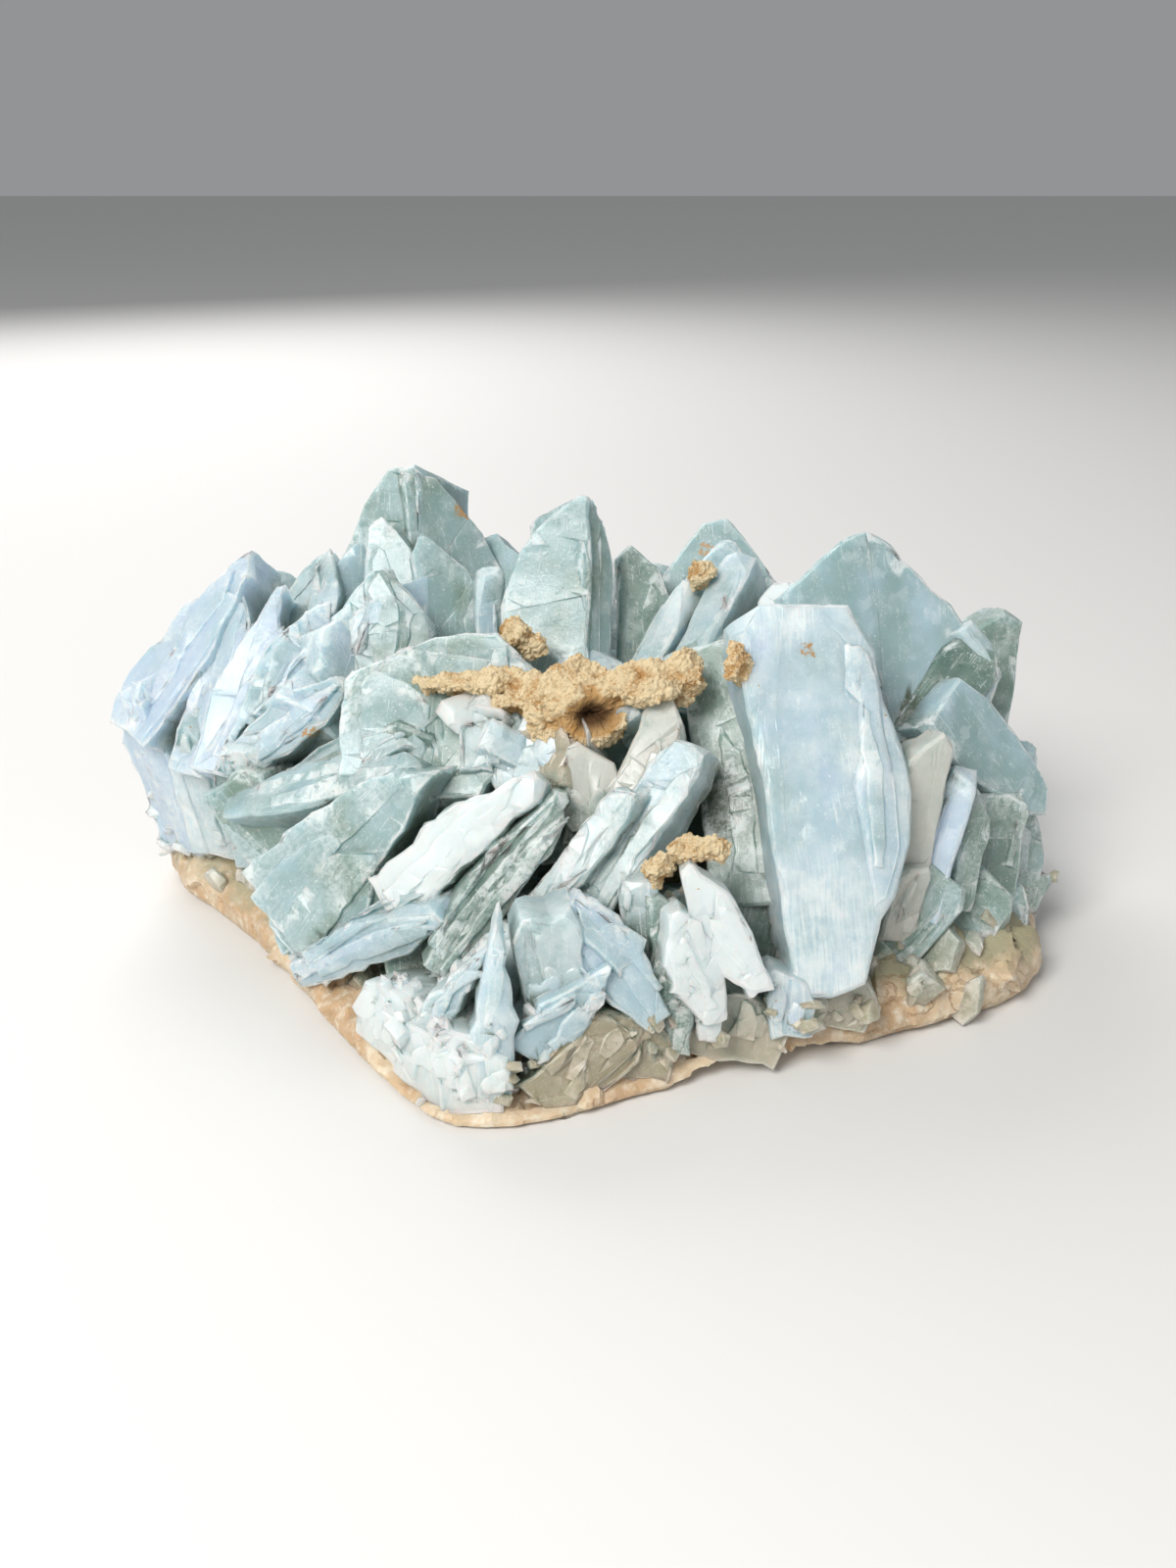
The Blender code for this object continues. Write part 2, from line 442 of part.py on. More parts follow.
def crumbly_lump(name, middle, size, swell, collection):
    """An uneven lump about a point, or a copy that is larger all round by swell."""
    shape = bmesh.new()
    bmesh.ops.create_icosphere(shape, subdivisions=CRUST_DETAIL, radius=1)
    half = millimetres(size) / 2
    middle = millimetres(middle)
    for vertex in shape.verts:
        direction = vertex.co.normalized()
        place = Vector((direction.x * half.x, direction.y * half.y, direction.z * half.z))
        rough = 1 + CRUST_LUMPS * noise.noise((middle + place) / CRUST_LUMP_SIZE)
        vertex.co = middle + place * rough + direction * swell
    mesh = bpy.data.meshes.new(name)
    shape.to_mesh(mesh)
    shape.free()
    return add_object(name, mesh, collection)


def make_crust(crust, swell, parts, tools):
    """A crust of lumps grown together, with its pits, or a copy that is larger all round by swell."""
    made = None
    for middle, size in crust.lumps:
        lump = crumbly_lump(crust.name, middle, size, swell, tools if made else parts)
        if made:
            as_helper(lump)
            add_boolean(made, "Lump", "UNION", other=lump)
        else:
            made = lump
    for middle, size in crust.pits:
        pit = crumbly_lump(crust.name + "_pit", middle, size, -swell, tools)
        as_helper(pit)
        add_boolean(made, "Pit", "DIFFERENCE", other=pit)
    return made


def add_boolean(made, name, operation, collection=None, other=None, solver="EXACT"):
    """A Boolean with one object or with a whole collection."""
    modifier = made.modifiers.new(name, "BOOLEAN")
    modifier.operation = operation
    modifier.solver = solver
    if collection:
        modifier.operand_type = "COLLECTION"
        modifier.collection = collection
    else:
        modifier.object = other
    return modifier


def shells(shape):
    """The separate shells of a mesh, each as a set of vertices."""
    found, seen = [], set()
    for start in shape.verts:
        if start in seen:
            continue
        shell, waiting = {start}, [start]
        while waiting:
            for edge in waiting.pop().link_edges:
                for vertex in edge.verts:
                    if vertex not in shell:
                        shell.add(vertex)
                        waiting.append(vertex)
        seen |= shell
        found.append(shell)
    return found


def settle(made):
    """Applies an object's modifiers and drops the crumbs that its Booleans left."""
    evaluated = made.evaluated_get(bpy.context.evaluated_depsgraph_get())
    mesh = bpy.data.meshes.new_from_object(evaluated)
    shape = bmesh.new()
    shape.from_mesh(mesh)
    ordered = sorted(shells(shape), key=len)
    crumbs = [vertex for shell in ordered[:-1] for vertex in shell]
    bmesh.ops.delete(shape, geom=crumbs, context="VERTS")
    shape.to_mesh(mesh)
    shape.free()
    made.modifiers.clear()
    made.data = mesh


def flat_cutter(collection):
    """A block that cuts everything off at the flat spot."""
    bpy.ops.mesh.primitive_cube_add(size=1)
    block = bpy.context.object
    block.name = "flat_cutter"
    block.scale = (FLOOR_WIDTH, FLOOR_WIDTH, FLOOR_DEPTH)
    block.location = (0, 0, -FLOOR_DEPTH / 2)
    for holder in block.users_collection:
        holder.objects.unlink(block)
    collection.objects.link(block)
    as_helper(block)
    return block


def arch_cutter(collection):
    """A rounded hollow under the right of the front edge."""
    shape = bmesh.new()
    bmesh.ops.create_icosphere(shape, subdivisions=ARCH_DETAIL, radius=0.5)
    bmesh.ops.scale(shape, vec=millimetres(ARCH_SIZE), verts=shape.verts)
    bmesh.ops.translate(shape, vec=millimetres(ARCH_AT), verts=shape.verts)
    mesh = bpy.data.meshes.new("arch_cutter")
    shape.to_mesh(mesh)
    shape.free()
    block = add_object("arch_cutter", mesh, collection)
    as_helper(block)
    return block


def main():
    """Builds the specimen."""
    clear_scene()
    parts = new_collection("blue_barite")
    grown = new_collection("crystal_cutters")
    rooms = new_collection("room_cutters")
    tools = new_collection("cutters")
    barite = new_material("blue_barite", (0.42, 0.58, 0.62), 0.35)
    cream = new_material("cream_rock", (0.72, 0.6, 0.45), 0.6)
    ochre = new_material("ochre_crust", (0.45, 0.26, 0.09), 0.9)

    made = [make_crystal(crystal, grown) for crystal in CRYSTALS]
    first = made[0]
    grown.objects.unlink(first)
    parts.objects.link(first)
    first.name = "barite_crystals"
    first.hide_render = False
    first.display_type = "TEXTURED"
    first.data.materials.append(barite)
    # The exact solver leaves a few open edges where this many crystals cross
    add_boolean(first, "Grown together", "UNION", collection=grown, solver="MANIFOLD")

    floor = flat_cutter(tools)
    arch = arch_cutter(tools)
    rock = make_rock("cream_matrix", 0, parts)
    rock.data.materials.append(cream)
    add_boolean(rock, "Flat spot", "DIFFERENCE", other=floor)
    add_boolean(rock, "Arch", "DIFFERENCE", other=arch)
    as_helper(make_rock("room_rock", GAP, rooms))

    for crust in CRUSTS:
        make_crust(crust, 0, parts, tools).data.materials.append(ochre)
        room = make_crust(crust, GAP, rooms, tools)
        room.name = "room_" + crust.name
        as_helper(room)
    add_boolean(first, "Room for the rock and the crusts", "DIFFERENCE", collection=rooms, solver="MANIFOLD")
    bpy.context.view_layer.update()
    for piece in parts.objects:
        settle(piece)


main()
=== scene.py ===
"""The look of a cluster of blue barite crystals on its cream base rock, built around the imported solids.

Each crystal is cut from the outline of its broad face, stepped and chipped, and then all of them are joined in
one shell, as they have grown. The base rock and the ochre crusts are worked from their solids.
Places and sizes in the tables are millimetres, in the frame of the solids: +Z up, the showy side towards -Y.
"""

import json
import logging
import math
import random
from dataclasses import dataclass
from enum import Enum
from typing import Any, Optional, Union

import bmesh
import bpy
import numpy as np
from mathutils import Matrix, Vector, noise
from mathutils.bvhtree import BVHTree

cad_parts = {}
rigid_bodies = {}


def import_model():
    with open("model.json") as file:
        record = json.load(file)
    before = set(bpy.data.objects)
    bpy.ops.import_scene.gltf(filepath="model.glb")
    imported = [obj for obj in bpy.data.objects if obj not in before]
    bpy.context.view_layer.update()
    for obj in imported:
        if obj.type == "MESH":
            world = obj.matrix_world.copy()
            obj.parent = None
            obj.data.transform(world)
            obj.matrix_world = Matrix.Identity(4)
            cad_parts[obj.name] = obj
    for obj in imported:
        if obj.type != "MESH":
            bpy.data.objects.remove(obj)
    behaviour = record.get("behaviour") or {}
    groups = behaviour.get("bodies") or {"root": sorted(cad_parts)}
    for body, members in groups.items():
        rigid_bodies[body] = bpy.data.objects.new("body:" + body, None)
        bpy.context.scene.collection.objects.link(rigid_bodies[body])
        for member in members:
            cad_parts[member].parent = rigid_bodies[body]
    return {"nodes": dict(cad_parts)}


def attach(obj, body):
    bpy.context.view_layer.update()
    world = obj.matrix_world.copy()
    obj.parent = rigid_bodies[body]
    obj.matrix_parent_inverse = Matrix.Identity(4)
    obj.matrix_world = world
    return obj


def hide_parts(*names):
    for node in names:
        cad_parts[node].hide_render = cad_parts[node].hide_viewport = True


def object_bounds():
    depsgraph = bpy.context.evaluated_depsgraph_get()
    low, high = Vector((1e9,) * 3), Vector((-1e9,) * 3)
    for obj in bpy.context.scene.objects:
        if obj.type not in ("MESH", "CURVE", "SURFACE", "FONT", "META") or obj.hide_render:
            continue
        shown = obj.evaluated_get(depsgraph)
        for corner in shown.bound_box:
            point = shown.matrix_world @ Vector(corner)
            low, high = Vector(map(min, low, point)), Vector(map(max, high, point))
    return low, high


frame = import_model()
SOLID_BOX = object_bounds()

MM = 0.001
UP = Vector((0, 0, 1))
# Blender's noise of vectors starts from the clock unless it is given a seed
NOISE_SEED = 7
LOG = logging.getLogger("blue_barite")

Point = tuple[float, float, float]
Spot = tuple[float, float]


class Tint(Enum):
    """A crystal's colour: its hue from lavender at 0 to deep teal at 1, how milky it is and how warm. Some tints are
    darker to paint shade.
    """

    LAVENDER = (0.02, 0.2, 0.0)
    SKY = (0.25, 0.18, 0.0)
    DEEP = (0.42, 0.0, 0.0)
    AQUA = (0.55, 0.15, 0.0)
    GREEN = (0.75, 0.1, 0.05)
    TEAL = (1.0, 0.0, 0.1)
    PALE = (0.4, 0.45, 0.1)
    MILKY = (0.4, 0.9, 0.1)
    CREAM = (0.5, 0.75, 0.6)
    PEACH = (0.5, 0.6, 1.1)
    # A brownish cream: partly the roots' own colour, partly painted shade, darker for the shade under the overhanging
    # blades at the front
    ROOT = (0.8, 0.3, 0.9)
    CLEAR = (0.22, 0.35, 0.0)
    # Painted shade: a dark teal tint for crystals that lie in shadow, such as those under the lens and low in the
    # middle
    SHADE = (0.95, 0.0, 0.15)
    # Painted shade: a dark moss tint for the grains at the bottom right, where the rock's shadow falls
    MOSS = (0.85, 0.2, 0.5)


class Form(Enum):
    """The outline of a broad face: across from -1 to 1, and along from the foot at 0 to the tip at 1."""

    SLAB = ((-0.9, 0), (0.9, 0), (1, 0.85), (0.7, 1), (-0.75, 0.97), (-1, 0.8))
    SLANT = ((-0.85, 0), (0.85, 0), (1, 0.62), (0.6, 0.8), (-0.55, 1), (-1, 0.9))
    ROOF = ((-0.8, 0), (0.8, 0), (1, 0.6), (0.2, 1), (-0.15, 0.98), (-1, 0.65))
    SPEAR = ((-0.7, 0), (0.7, 0), (1, 0.45), (0.15, 1), (-0.1, 0.99), (-0.95, 0.4))
    BLADE = ((-0.5, 0), (0.5, 0), (0.95, 0.4), (1, 0.7), (0.35, 1), (-0.3, 0.96), (-1, 0.6), (-0.9, 0.3))
    SHOULDER = ((-1, 0), (0.6, 0), (0.45, 0.98), (0.25, 1), (-0.2, 0.97), (-0.6, 0.78), (-0.95, 0.5))
    SHOULDER_SIDE = (
        (-0.6, 0), (1, 0), (1.15, 0.45), (0.9, 0.62), (0.45, 0.82), (0.15, 0.95), (-0.2, 1), (-0.5, 0.98),
    )
    DOME = (
        (-0.75, 0), (0.6, 0), (0.3, 0.6), (0.1, 1), (-0.1, 1), (-0.5, 0.93), (-0.95, 0.7), (-1.1, 0.42),
    )
    DOME_SIDE = (
        (-0.8, 0), (0.6, 0), (1, 0.5), (1.1, 0.66), (0.8, 0.86), (0.25, 1), (-0.2, 1), (-0.5, 0.5),
    )
    PEAK = (
        (-0.8, 0), (0.8, 0), (1.1, 0.3), (0.72, 0.62), (0.25, 0.92), (0.05, 1), (-0.2, 0.97), (-0.85, 0.75),
    )
    KITE = (
        (0.5, 0), (1, 0.1), (1.1, 0.3), (1.15, 0.75), (0.85, 1), (-0.8, 0.96), (-0.7, 0.64), (-0.25, 0.32),
        (0.05, 0.1),
    )
    FRONT_PLATE = (
        (-0.45, 0.01), (-0.05, 0), (0.4, 0.03), (0.6, 0.18), (0.8, 0.23), (1, 0.35), (1.12, 0.47), (1.12, 0.6),
        (0.96, 0.72), (0.93, 0.86), (0.78, 0.92), (0.62, 0.99), (-0.45, 1), (-0.72, 0.97), (-0.78, 0.9),
        (-0.65, 0.66), (-0.6, 0.3),
    )
    RAGGED_PLATE = (
        (-0.1, 0), (0.4, 0.03), (0.9, 0.2), (1, 0.45), (0.95, 0.8), (0.5, 0.95), (-0.1, 1), (-0.4, 0.97),
        (-0.35, 0.8), (0.1, 0.74), (-0.1, 0.55), (-0.5, 0.42), (-0.35, 0.2),
    )
    LENS = (
        (-0.7, 0), (0.5, 0), (0.95, 0.5), (1, 0.75), (0.54, 1), (0.2, 1), (-0.1, 0.97), (-0.45, 0.9),
        (-0.75, 0.82), (-1.03, 0.75), (-0.95, 0.4),
    )
    WING = (
        (0.1, 0), (0.65, 0.12), (0.85, 0.33), (0.3, 0.55), (0.3, 0.76), (0.05, 1), (-0.3, 0.9), (-0.75, 0.6),
        (-1.1, 0.35), (-0.9, 0.13), (-0.45, 0),
    )
    RAGGED = (
        (-0.1, 0), (0.55, 0.2), (0.5, 0.6), (0.3, 0.75), (0.45, 0.9), (0.2, 1), (-0.35, 1), (-0.6, 0.8),
        (-1.3, 0.6), (-1.4, 0.45), (-1.2, 0.35), (-1.5, 0.05),
    )
    FLANK = (
        (-0.5, 0), (0.9, 0), (1, 0.5), (0.6, 0.9), (0.15, 1), (-0.1, 0.98), (-0.35, 0.77), (-0.55, 0.55),
        (-0.9, 0.38), (-1.05, 0.22), (-0.85, 0.1),
    )


@dataclass(frozen=True)
class Crystal:
    """A tabular crystal: foot and tip lie on its broad face, in millimetres, and face is where that looks."""

    name: str
    foot: Point
    tip: Point
    width: float
    thick: float
    face: Point
    form: Form
    tint: Tint
    mirrored: bool = False

    def length(self) -> float:
        """The distance from foot to tip, in metres."""
        return (Vector(self.tip) - Vector(self.foot)).length * MM

    def axes(self) -> tuple[Vector, Vector, Vector]:
        """The directions across the broad face, along it, and out of it."""
        along = (Vector(self.tip) - Vector(self.foot)).normalized()
        face = Vector(self.face)
        out = (face - along * face.dot(along)).normalized()
        return along.cross(out), along, out

    def place(self) -> Matrix:
        """The matrix from the crystal's own frame, whose broad face is at half its thickness, to the specimen's."""
        across, along, out = self.axes()
        turn = Matrix((across, along, out)).transposed().to_4x4()
        return Matrix.Translation(Vector(self.foot) * MM - out * self.thick * MM / 2) @ turn

    def outline(self) -> list[Vector]:
        """The corners of the broad face in the crystal's own frame, anticlockwise."""
        half, length = self.width * MM / 2, self.length()
        if self.mirrored:
            return [Vector((-s * half, t * length, 0)) for s, t in reversed(self.form.value)]
        return [Vector((s * half, t * length, 0)) for s, t in self.form.value]


@dataclass(frozen=True)
class Cut:
    """How a crystal is worked: its rim, its growth steps and its broken facets, in millimetres."""

    rim: float = 0.6
    ragged: float = 0.16
    segment: float = 3.2
    steps: int = 5
    rise: float = 0.5
    facets: int = 3
    bite: float = 1.1


@dataclass(frozen=True)
class Growth:
    """How small blades grow on a crystal: one for so many square millimetres, and the range of their sizes.

    Lengths and widths are shares of the crystal's own, and the thickness is millimetres.
    """

    area: float
    most: int
    long: Spot
    broad: Spot
    thick: Spot = (1.5, 3.0)
    turn: float = 4.0
    proud: Spot = (0.15, 0.45)


@dataclass(frozen=True)
class Weathering:
    """How the joined shell is refined, chipped and bent, and how its crevices are found for painted shade, in
    millimetres, with angles in radians.
    """

    coarse: float = 3.0
    fine: float = 1.12
    spread: int = 4
    passes: int = 5
    sharp: float = 0.5
    blunt: float = 1.1
    chip: float = 1.9
    chip_depth: float = 0.55
    wear: float = 0.16
    bends: tuple[Spot, ...] = ((26.0, 1.4), (7.0, 0.35))
    reach: float = 13.0
    lift: float = 1.0
    rays: int = 40
    smooth: float = 0.33


TOP_ROW: tuple[Crystal, ...] = (
    Crystal("tall_back", (-34, 15, 43), (-32, 28, 71.5), 23, 17, (-0.3, -0.9, 0.3), Form.SHOULDER, Tint.AQUA),
    Crystal("tall_back_side", (-23, 15, 42), (-27, 28, 71), 20, 15, (0.45, -0.8, 0.4), Form.SHOULDER_SIDE, Tint.AQUA),
    Crystal("back_block", (-34, 9, 46), (-32, 18, 65), 10, 7, (-0.1, -0.9, 0.4), Form.SLANT, Tint.AQUA),
    Crystal("back_step", (-20, 0, 32), (-24, 16, 63), 12, 9, (0.25, -0.85, 0.45), Form.SLANT, Tint.AQUA),
    Crystal("back_chip", (-16, 4, 42), (-16, 10, 58), 5, 7, (0.2, -0.9, 0.4), Form.SLAB, Tint.SKY),
    Crystal("dome", (-6, -10, 42), (-1, 10, 70), 20, 14, (-0.25, -0.9, 0.35), Form.DOME, Tint.AQUA),
    Crystal("dome_side", (1, -8, 42), (-1, 10, 69.5), 10, 14, (0.6, -0.75, 0.3), Form.DOME_SIDE, Tint.AQUA),
    Crystal("dark_tooth", (9, 0, 38), (9, 18, 60), 10, 9, (0, -0.85, 0.5), Form.SLANT, Tint.GREEN),
    Crystal("ridge", (25, 8, 34), (22, 28, 61), 25, 11, (0, -0.9, 0.4), Form.ROOF, Tint.AQUA),
    Crystal("ridge_front", (24, 2, 42), (24, 18, 60), 16, 9, (0.1, -0.8, 0.6), Form.ROOF, Tint.AQUA),
    Crystal("slab_low", (7, -5, 43), (17, 8, 56), 6, 9, (-0.45, -0.6, 0.7), Form.SLAB, Tint.PALE),
    Crystal("slab_high", (14, -7, 44), (26, 10, 60), 6.5, 9, (-0.4, -0.65, 0.65), Form.SLAB, Tint.PALE),
    Crystal("white_top", (31, -8, 48), (31, 1, 58), 8, 7, (-0.3, -0.8, 0.5), Form.SLAB, Tint.MILKY),
    Crystal("right_peak", (49, -16, 36), (44, 2, 66), 35, 15, (0.15, -0.85, 0.5), Form.PEAK, Tint.DEEP),
    Crystal("right_back", (66, 4, 28), (68, 12, 50), 13, 9, (0.3, -0.9, 0.3), Form.SLANT, Tint.GREEN, True),
    Crystal("right_ledge", (60, -5, 53), (65, -7, 47), 4, 5, (0.3, -0.6, 0.75), Form.SLAB, Tint.PALE),
    Crystal("right_under", (51, -16, 36), (63, -6, 50), 10, 7, (0.2, -0.7, 0.7), Form.SLAB, Tint.TEAL),
)

# The big plates on the right of the front
RIGHT_FRONT: tuple[Crystal, ...] = (
    Crystal("front_plate", (34.5, -51, 13), (31, -19, 61), 25, 9, (0.1, -0.85, 0.5), Form.FRONT_PLATE, Tint.CLEAR),
    Crystal("front_layer", (40.5, -44, 23), (39.5, -22.5, 56.5), 9, 4, (0.1, -0.85, 0.5), Form.RAGGED_PLATE, Tint.CLEAR),
    Crystal("side_plate", (23, -38, 20), (20, -14, 54), 13, 8, (-0.35, -0.85, 0.4), Form.SLAB, Tint.GREEN),
    Crystal("right_plate", (72, -17, 22), (54, -16.5, 44), 14, 8, (0.25, -0.75, 0.6), Form.KITE, Tint.AQUA),
    Crystal("right_block", (64, -24, 8), (66, -18, 29), 10, 12, (0.2, -0.85, 0.45), Form.SLAB, Tint.GREEN),
    Crystal("right_wedge", (72, -18, 6), (72.5, -13, 26), 7, 12, (0.5, -0.8, 0.3), Form.SLANT, Tint.GREEN),
    Crystal("lavender_blade", (50, -35, 15), (56, -26, 37), 6, 7, (-0.3, -0.9, 0.3), Form.SLAB, Tint.LAVENDER),
    Crystal("grey_blade", (57, -31, 14), (61, -25, 33), 6, 7, (0.3, -0.9, 0.35), Form.SLANT, Tint.GREEN),
    Crystal("ragged_right", (64, -20, 4), (77, -14, 12), 8, 9, (0.4, -0.7, 0.6), Form.ROOF, Tint.GREEN),
    Crystal("green_left", (42, -37, 8), (54, -33, 22), 11, 8, (0.1, -0.8, 0.5), Form.SLAB, Tint.GREEN),
    Crystal("green_middle", (51, -33, 6), (65, -27, 17), 11, 8, (0.15, -0.75, 0.6), Form.SLAB, Tint.GREEN),
    Crystal("green_right", (61, -27, 6), (72, -21, 12), 10, 8, (0.3, -0.75, 0.6), Form.SLANT, Tint.AQUA),
    Crystal("yellow_gap", (48, -33, 22), (50, -28, 43), 8, 8, (0.1, -0.9, 0.4), Form.SLANT, Tint.CREAM, True),
)

# The middle of the front, below and beside the sandy crust
MIDDLE_FRONT: tuple[Crystal, ...] = (
    Crystal("clear_cream", (5, -35, 34), (14, -26, 49), 8, 8, (-0.2, -0.9, 0.4), Form.SLANT, Tint.CREAM),
    Crystal("long_slab", (-2, -46, 20), (15, -32, 44), 8, 8, (-0.35, -0.75, 0.55), Form.SLAB, Tint.PALE),
    Crystal("slim_slab", (-8, -45, 22), (6, -38, 39), 6, 7, (-0.3, -0.8, 0.5), Form.SLAB, Tint.PALE),
    Crystal("cream_small", (-16, -30, 38), (-16, -22, 49), 7, 6, (0, -0.9, 0.4), Form.ROOF, Tint.PALE),
    Crystal("under_crust_left", (-4, -38, 26), (-10, -24, 46), 14, 10, (-0.1, -0.85, 0.5), Form.ROOF, Tint.PALE),
    Crystal("under_crust_right", (0, -37, 28), (1, -30, 43), 10, 9, (0.1, -0.9, 0.4), Form.SLANT, Tint.CREAM),
    Crystal("upright", (8, -50, 18), (7, -47, 29), 6, 6, (0, -0.9, 0.4), Form.SLAB, Tint.PALE),
    Crystal("dark_facet", (11, -51, 18), (11, -48, 28), 5, 6, (0.3, -0.9, 0.3), Form.SLANT, Tint.TEAL),
    Crystal("white_blade", (24, -56, 16), (13, -50, 33), 7.5, 8, (-0.1, -0.85, 0.5), Form.BLADE, Tint.MILKY),
)

# The fan of blades on the left
LEFT_FAN: tuple[Crystal, ...] = (
    Crystal("lens", (-23, -31, 34), (-22, -12, 54), 31, 7, (-0.1, -0.9, 0.4), Form.LENS, Tint.AQUA),
    Crystal("lens_under", (-33, -24, 32), (-16, -24, 43), 13, 8, (0, -0.8, 0.6), Form.BLADE, Tint.SHADE),
    Crystal("lens_ridge", (-34, -27, 38), (-20, -21.5, 44), 4, 6, (-0.1, -0.7, 0.7), Form.BLADE, Tint.PALE),
    Crystal("fan_upper", (-58, -13, 30), (-38, -12, 47), 10, 8, (-0.1, -0.8, 0.6), Form.BLADE, Tint.SKY),
    Crystal("fan_middle", (-49, -17, 28), (-25, -25, 43), 11, 8, (-0.2, -0.7, 0.65), Form.BLADE, Tint.AQUA),
    Crystal("fan_long", (-58, -17, 26), (-24, -31, 41), 9, 7, (-0.1, -0.6, 0.8), Form.BLADE, Tint.AQUA),
    Crystal("fan_big", (-46, -34, 10), (-23, -36, 41), 23, 9, (-0.25, -0.85, 0.45), Form.WING, Tint.AQUA),
    Crystal("milky", (-28, -42, 19), (-7, -38, 40.5), 11, 5, (0, -0.8, 0.6), Form.RAGGED, Tint.MILKY),
    Crystal("green_blade", (-21, -50, 15), (-3, -38, 39), 8, 9, (0.2, -0.9, 0.35), Form.BLADE, Tint.SHADE),
    Crystal("fan_shadow", (-48, -32, 9), (-25, -38, 27), 8, 8, (-0.1, -0.9, 0.4), Form.BLADE, Tint.AQUA),
    Crystal("ribbed", (-43, -36.5, 10), (-24, -42.5, 25), 3.5, 5, (0.1, -0.8, 0.6), Form.SLAB, Tint.SKY),
    Crystal("low_left", (-45, -35, 6), (-20, -47, 23), 9, 10, (-0.2, -0.95, 0.1), Form.BLADE, Tint.SKY),
    Crystal("grey_left", (-46, -22, 12), (-58, -15, 31), 13, 9, (-0.4, -0.85, 0.3), Form.SLAB, Tint.GREEN),
    Crystal("out_left", (-78.5, 1, 32), (-58.5, 16, 60), 16, 9, (-0.55, -0.65, 0.5), Form.FLANK, Tint.LAVENDER),
    Crystal("ridge_left", (-66, -8, 28), (-57, 12, 55.5), 9, 9, (-0.4, -0.8, 0.4), Form.SLANT, Tint.LAVENDER),
    Crystal("smooth_left", (-60, -12, 30), (-51, 10, 56), 12, 8, (-0.1, -0.9, 0.4), Form.SPEAR, Tint.LAVENDER),
    Crystal("long_left", (-56, -14, 29), (-43, 6, 54), 11, 7, (0.2, -0.8, 0.55), Form.ROOF, Tint.SKY),
    Crystal("thin_left", (-52, -10, 38), (-40, 3, 52), 5, 5, (0.35, -0.75, 0.55), Form.SLAB, Tint.LAVENDER),
    Crystal("crest_left", (-33, -7, 40), (-33, 4, 59), 18, 8, (0, -0.75, 0.65), Form.ROOF, Tint.AQUA),
    Crystal("white_left", (-49, 8, 44), (-46, 22, 59), 11, 9, (-0.2, -0.9, 0.3), Form.ROOF, Tint.PALE),
    Crystal("square_left", (-36, -4, 46), (-33, 1, 55), 6, 5, (0.2, -0.8, 0.6), Form.SLAB, Tint.SKY),
    Crystal("fibre_far", (-71, 3, 6), (-77.5, 2, 40), 13, 12, (-0.6, -0.75, 0.2), Form.ROOF, Tint.LAVENDER),
    Crystal("fibre_middle", (-64, -4, 9), (-66, -6, 37), 11, 12, (-0.35, -0.9, 0.2), Form.ROOF, Tint.PALE),
    Crystal("fibre_near", (-55, -11, 10), (-56, -14, 35), 10, 12, (-0.3, -0.9, 0.2), Form.SLAB, Tint.PALE),
)

# Low crystals along the bottom of the front
FRONT_FOOT: tuple[Crystal, ...] = (
    Crystal("spike", (-13, -63.5, 4), (-12, -57, 30), 6.5, 5, (0.1, -1, 0.1), Form.SPEAR, Tint.PALE),
    Crystal("spike_left", (-24, -57, 9), (-13, -57, 26), 5, 6, (-0.2, -0.9, 0.4), Form.SPEAR, Tint.PALE),
    Crystal("granular_left", (-30, -53, 2.5), (-26, -53, 15), 15, 10, (-0.6, -0.75, 0.3), Form.ROOF, Tint.MILKY),
    Crystal("granular_front", (-16, -63.5, 2), (-17, -61, 16), 11, 9, (-0.2, -0.95, 0.2), Form.SLANT, Tint.MILKY),
    Crystal("granular_corner", (-24, -59.5, 2), (-21, -59, 13), 12, 9, (-0.5, -0.8, 0.3), Form.SLAB, Tint.MILKY),
    Crystal("wedge", (-9, -60, 9), (3, -56, 21), 9, 9, (0.3, -0.9, 0.3), Form.SPEAR, Tint.SKY),
    Crystal("wedge_root", (-7, -62.5, 2), (5, -57, 12), 11, 8, (0.2, -0.9, 0.3), Form.SLAB, Tint.ROOT),
    Crystal("root_band_left", (5, -58, 2.5), (6, -55, 14), 15, 8, (0.1, -0.9, 0.3), Form.SLANT, Tint.ROOT),
    Crystal("striated", (-4, -56, 12), (-6, -54, 28), 10, 9, (0.05, -0.85, 0.5), Form.SLAB, Tint.PALE),
    Crystal("lip", (10, -57, 12), (-3, -51, 29), 9, 6, (0.1, -0.85, 0.5), Form.BLADE, Tint.SKY),
    Crystal("grey_root", (11, -56, 6), (12, -52, 24), 8, 8, (-0.1, -0.9, 0.3), Form.ROOF, Tint.SHADE),
    Crystal("front_middle", (18, -57, 12), (12, -53, 28), 8.5, 7, (0.2, -0.9, 0.3), Form.BLADE, Tint.MILKY),
    Crystal("front_small", (17, -56, 8), (17, -55, 16), 5, 5, (0, -0.9, 0.3), Form.SPEAR, Tint.MILKY),
    Crystal("root_band", (20, -53.5, 3), (22, -51, 14), 17, 8, (0.1, -0.9, 0.3), Form.ROOF, Tint.CREAM),
    Crystal("root_band_right", (35, -47.5, 5), (37, -46, 15), 14, 8, (0.1, -0.9, 0.3), Form.SLANT, Tint.CREAM),
    Crystal("grey_end", (29, -53, 7), (28, -51, 18), 7, 7, (0.1, -0.95, 0.2), Form.SLANT, Tint.SKY),
    Crystal("cream_block", (47, -36, 12), (48, -35, 24), 7, 7, (0.2, -0.9, 0.3), Form.SLAB, Tint.CREAM),
)

